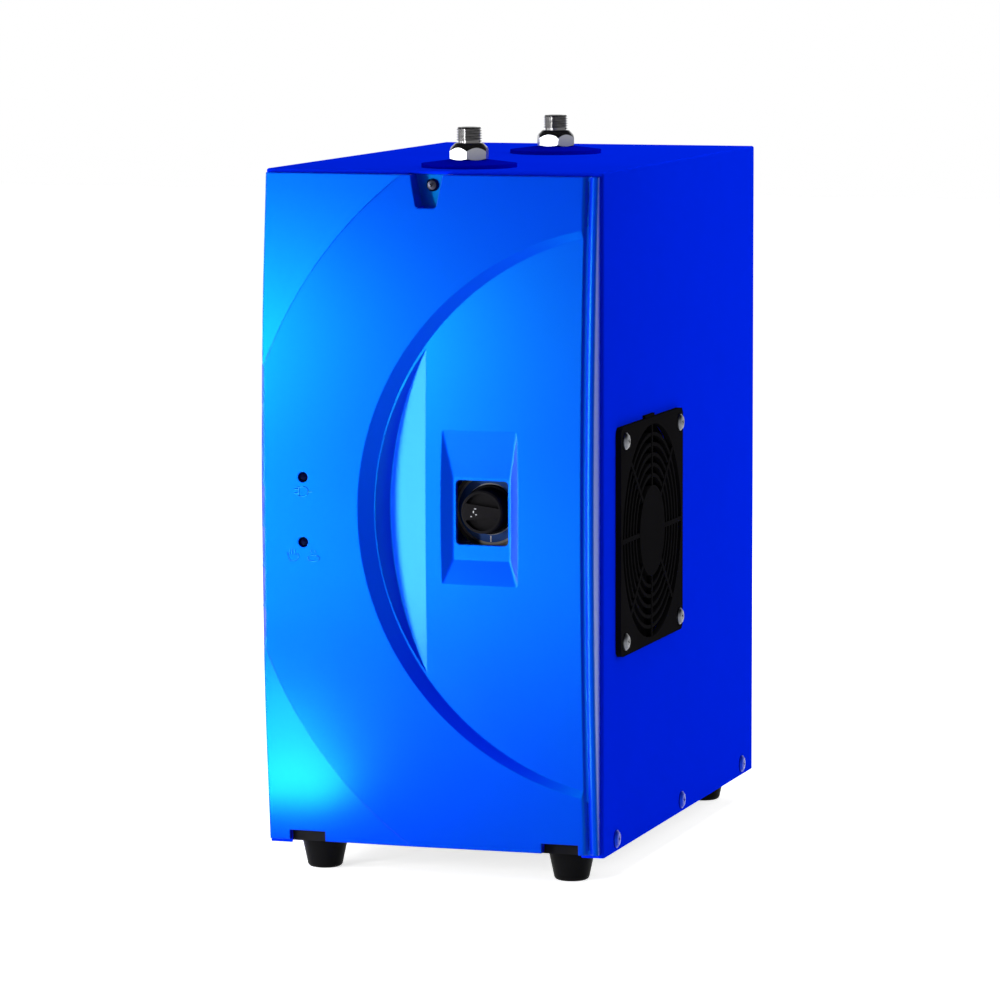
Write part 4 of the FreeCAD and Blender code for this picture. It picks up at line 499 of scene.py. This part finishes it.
def cabinet():
    """The cabinet's screws, each kind with its own recess."""
    half = FAN_HOLES / 2
    fan_places = [(FAN[0] + a * half, FAN[1] + b * half) for a in (-1, 1) for b in (-1, 1)]
    guard = screw_heads("guard_screws", "guard_screw_heads", [Vector((1, 0, 0))] * 4,
                        [at(188.3, v, w) for v, w in fan_places], 4.6, 1.0, 1.5)
    guard.data.materials[0] = DULL_CHROME
    sides = [(u, v) for u in (-2.0, WIDE + 2.0) for v in (23.0, 150.25, 277.5)]
    screw_heads("side_screws", "side_screw_heads",
                [Vector((math.copysign(1, u), 0, 0)) for u, v in sides],
                [at(u, v, 6.5) for u, v in sides], 4.8, 1.1, 1.4)
    backs = [(u, TALL * share) for u in (6.0, WIDE - 6.0) for share in (0.06, 0.5, 0.94)]
    screw_heads("back_screws", "back_screw_heads", [Vector((0, 1, 0))] * 6,
                [at(u, 305.4, w) for u, w in backs], 3.8, 0.9, 1.3)
    screw_heads("inlet_screws", "inlet_screw_heads", [Vector((0, 1, 0))] * 2,
                [at(u, 308.1, 75) for u in (20.0, 60.0)], 3.0, 0.8, 1.2)
    pocket = screw_heads("cover_screw", "cover_screw_head", [Vector((0, -1, 0))],
                         [at(89.6, 2.8, 347.3)], 3.6, 0.9, 1.4)
    pocket.data.materials[0] = FINISHES["black_screw"]
    feet = [(u, v) for u in (23.3, WIDE - 23.3) for v in (20.5, 282.0)]
    screw_heads("foot_screws", "foot_screw_heads", [Vector((0, 0, -1))] * 4,
                [at(u, v, -11.1) for u, v in feet], 4.2, 1.0, 1.5)


# Studio

def area_light(name, place, target, wide, high, power):
    lamp = bpy.data.lights.new(name, "AREA")
    lamp.shape = "RECTANGLE"
    lamp.size, lamp.size_y = wide, high
    lamp.energy = power
    stand = bpy.data.objects.new(name, lamp)
    stand.location = place
    stand.rotation_euler = (Vector(target) - Vector(place)).to_track_quat("-Z", "Y").to_euler()
    stand.visible_camera = False
    stand.visible_glossy = name not in ("overhead", "behind", "right_rear", "right_back")
    bpy.context.scene.collection.objects.link(stand)
    return stand


def round_the_object(turn, lift, away):
    """Place round the cabinet: degrees to the left of its front, degrees up and metres away."""
    a, e = math.radians(turn), math.radians(lift)
    return AIM + away * Vector((-math.sin(a) * math.cos(e), -math.cos(a) * math.cos(e), math.sin(e)))


AIM = Vector((0, -0.05, 0.19))
LAMPS = {
    "behind": (180, 40, 1.4, 1.0, 1.0, 6.9),
    "right_rear": (-110, 20, 1.0, 0.6, 0.8, 3.8),
    "right_back": (-125, 25, 1.4, 0.8, 0.8, 1.5),
    "overhead": (0, 85, 1.1, 1.0, 1.0, 5.2),
    "low_front_left": (30, -7, 0.8, 0.3, 0.18, 1.0),
    "low_front": (15, -8, 0.9, 0.7, 0.12, 0.75),
}
STRIPS = {
    "upper_strip": ((-0.51, -1.04, 0.30), (-0.08, -0.15, 0.20), 0.08, 0.20, 5.2),
    "scoop_strip": ((-0.521, -0.463, 0.182), (-0.01, -0.154, 0.20), 0.10, 0.36, 3.0),
    "edge_strip": ((-0.90, -0.14, 0.20), (-0.09, -0.155, 0.20), 0.20, 0.60, 3.0),
    "floor_strip_near": ((-0.125, -0.265, 0.006), (-0.125, -0.265, 1), 0.06, 0.06, 0.42),
    "floor_strip_middle": ((-0.158, -0.327, 0.006), (-0.158, -0.327, 1), 0.06, 0.06, 0.26),
    "floor_strip_far": ((-0.19, -0.388, 0.006), (-0.19, -0.388, 1), 0.06, 0.06, 0.36),
}


def studio():
    """White floor and surround, lamps round and above the cabinet, and strips for the cover."""
    world = bpy.data.worlds.new("surround")
    world.use_nodes = True
    tree = world.node_tree
    background = tree.nodes["Background"]
    heights = tree.nodes.new("ShaderNodeTexCoord")
    apart = tree.nodes.new("ShaderNodeSeparateXYZ")
    ceiling = tree.nodes.new("ShaderNodeValToRGB")
    low, high = ceiling.color_ramp.elements
    low.position, low.color = 0.25, (1, 1, 1, 1)
    high.position, high.color = 0.45, (0.02, 0.02, 0.02, 1)
    link(tree, heights, "Generated", apart, "Vector")
    link(tree, apart, "Z", ceiling, "Fac")
    link(tree, ceiling, "Color", background, "Color")
    tree.links.new(seen_directly(tree), background.inputs["Strength"])
    bpy.context.scene.world = world

    bpy.ops.object.select_all(action="DESELECT")
    bpy.ops.mesh.primitive_plane_add(size=12, location=(0, 0, 0))
    floor = bpy.context.active_object
    floor.name = "floor"
    material, tree, shader = finish_material("floor_white")
    shader.inputs["Base Color"].default_value = (0.9, 0.9, 0.9, 1)
    shader.inputs["Roughness"].default_value = 0.9
    shader.inputs["Emission Color"].default_value = (1, 1, 1, 1)
    coordinates = tree.nodes.new("ShaderNodeTexCoord")
    outward = tree.nodes.new("ShaderNodeVectorMath")
    outward.operation = "LENGTH"
    link(tree, coordinates, "Object", outward, 0)
    # the floor's glow, seen by the camera and in reflections, rises from 0.75 near the cabinet to 1 far
    # off: painted light on the far floor where the lamps don't reach
    painted_floor_light = tree.nodes.new("ShaderNodeMapRange")
    painted_floor_light.inputs["From Min"].default_value, painted_floor_light.inputs["From Max"].default_value = 0.25, 1.2
    painted_floor_light.inputs["To Min"].default_value, painted_floor_light.inputs["To Max"].default_value = 0.75, 1.0
    link(tree, outward, "Value", painted_floor_light, "Value")
    shown = tree.nodes.new("ShaderNodeMath")
    shown.operation = "MULTIPLY"
    link(tree, painted_floor_light, "Result", shown, 0)
    tree.links.new(seen_directly(tree), shown.inputs[1])
    link(tree, shown, "Value", shader, "Emission Strength")
    floor.data.materials.append(material)
    for name, (turn, lift, away, wide, high, power) in LAMPS.items():
        area_light(name, round_the_object(turn, lift, away), AIM, wide, high, power)
    for name, strip in STRIPS.items():
        area_light(name, *strip)


def seen_directly(tree):
    """1 for what the camera sees itself, in a mirror or through glass."""
    path = tree.nodes.new("ShaderNodeLightPath")
    total = None
    for ray in ("Is Camera Ray", "Is Glossy Ray", "Is Transmission Ray"):
        if total is None:
            total = path.outputs[ray]
            continue
        either = tree.nodes.new("ShaderNodeMath")
        either.operation = "MAXIMUM"
        tree.links.new(total, either.inputs[0])
        tree.links.new(path.outputs[ray], either.inputs[1])
        total = either.outputs[0]
    return total


def camera():
    """The photograph's viewpoint."""
    yaw, pitch, roll = (math.radians(degrees) for degrees in (YAW, PITCH, ROLL))
    ahead = Vector((math.sin(yaw) * math.cos(pitch), math.cos(yaw) * math.cos(pitch), math.sin(pitch)))
    right = ahead.cross(Vector((0, 0, 1))).normalized()
    above = right.cross(ahead)
    right, above = (right * math.cos(roll) + above * math.sin(roll),
                    above * math.cos(roll) - right * math.sin(roll))
    lens = bpy.data.cameras.new("camera")
    lens.sensor_width = SENSOR
    lens.lens = FOCAL_PIXELS * SENSOR / PHOTO_PIXELS
    lens.clip_start, lens.clip_end = 0.1, 30
    eye = bpy.data.objects.new("camera", lens)
    turn = Matrix((right, above, -ahead)).transposed().to_4x4()
    eye.matrix_world = Matrix.Translation(at(*EYE)) @ turn
    bpy.context.scene.collection.objects.link(eye)
    bpy.context.scene.camera = eye


for node_name, node in frame["nodes"].items():
    node.data.materials.clear()
    node.data.materials.append(FINISHES[SLOTS[node_name]])
signs()
knob_prints()
dial_tick()
for node_name, v in PORTS.items():
    threaded_fitting(node_name, f"{node_name}_threaded", v)
cabinet()
studio()
camera()
bpy.context.scene.view_settings.view_transform = "Standard"
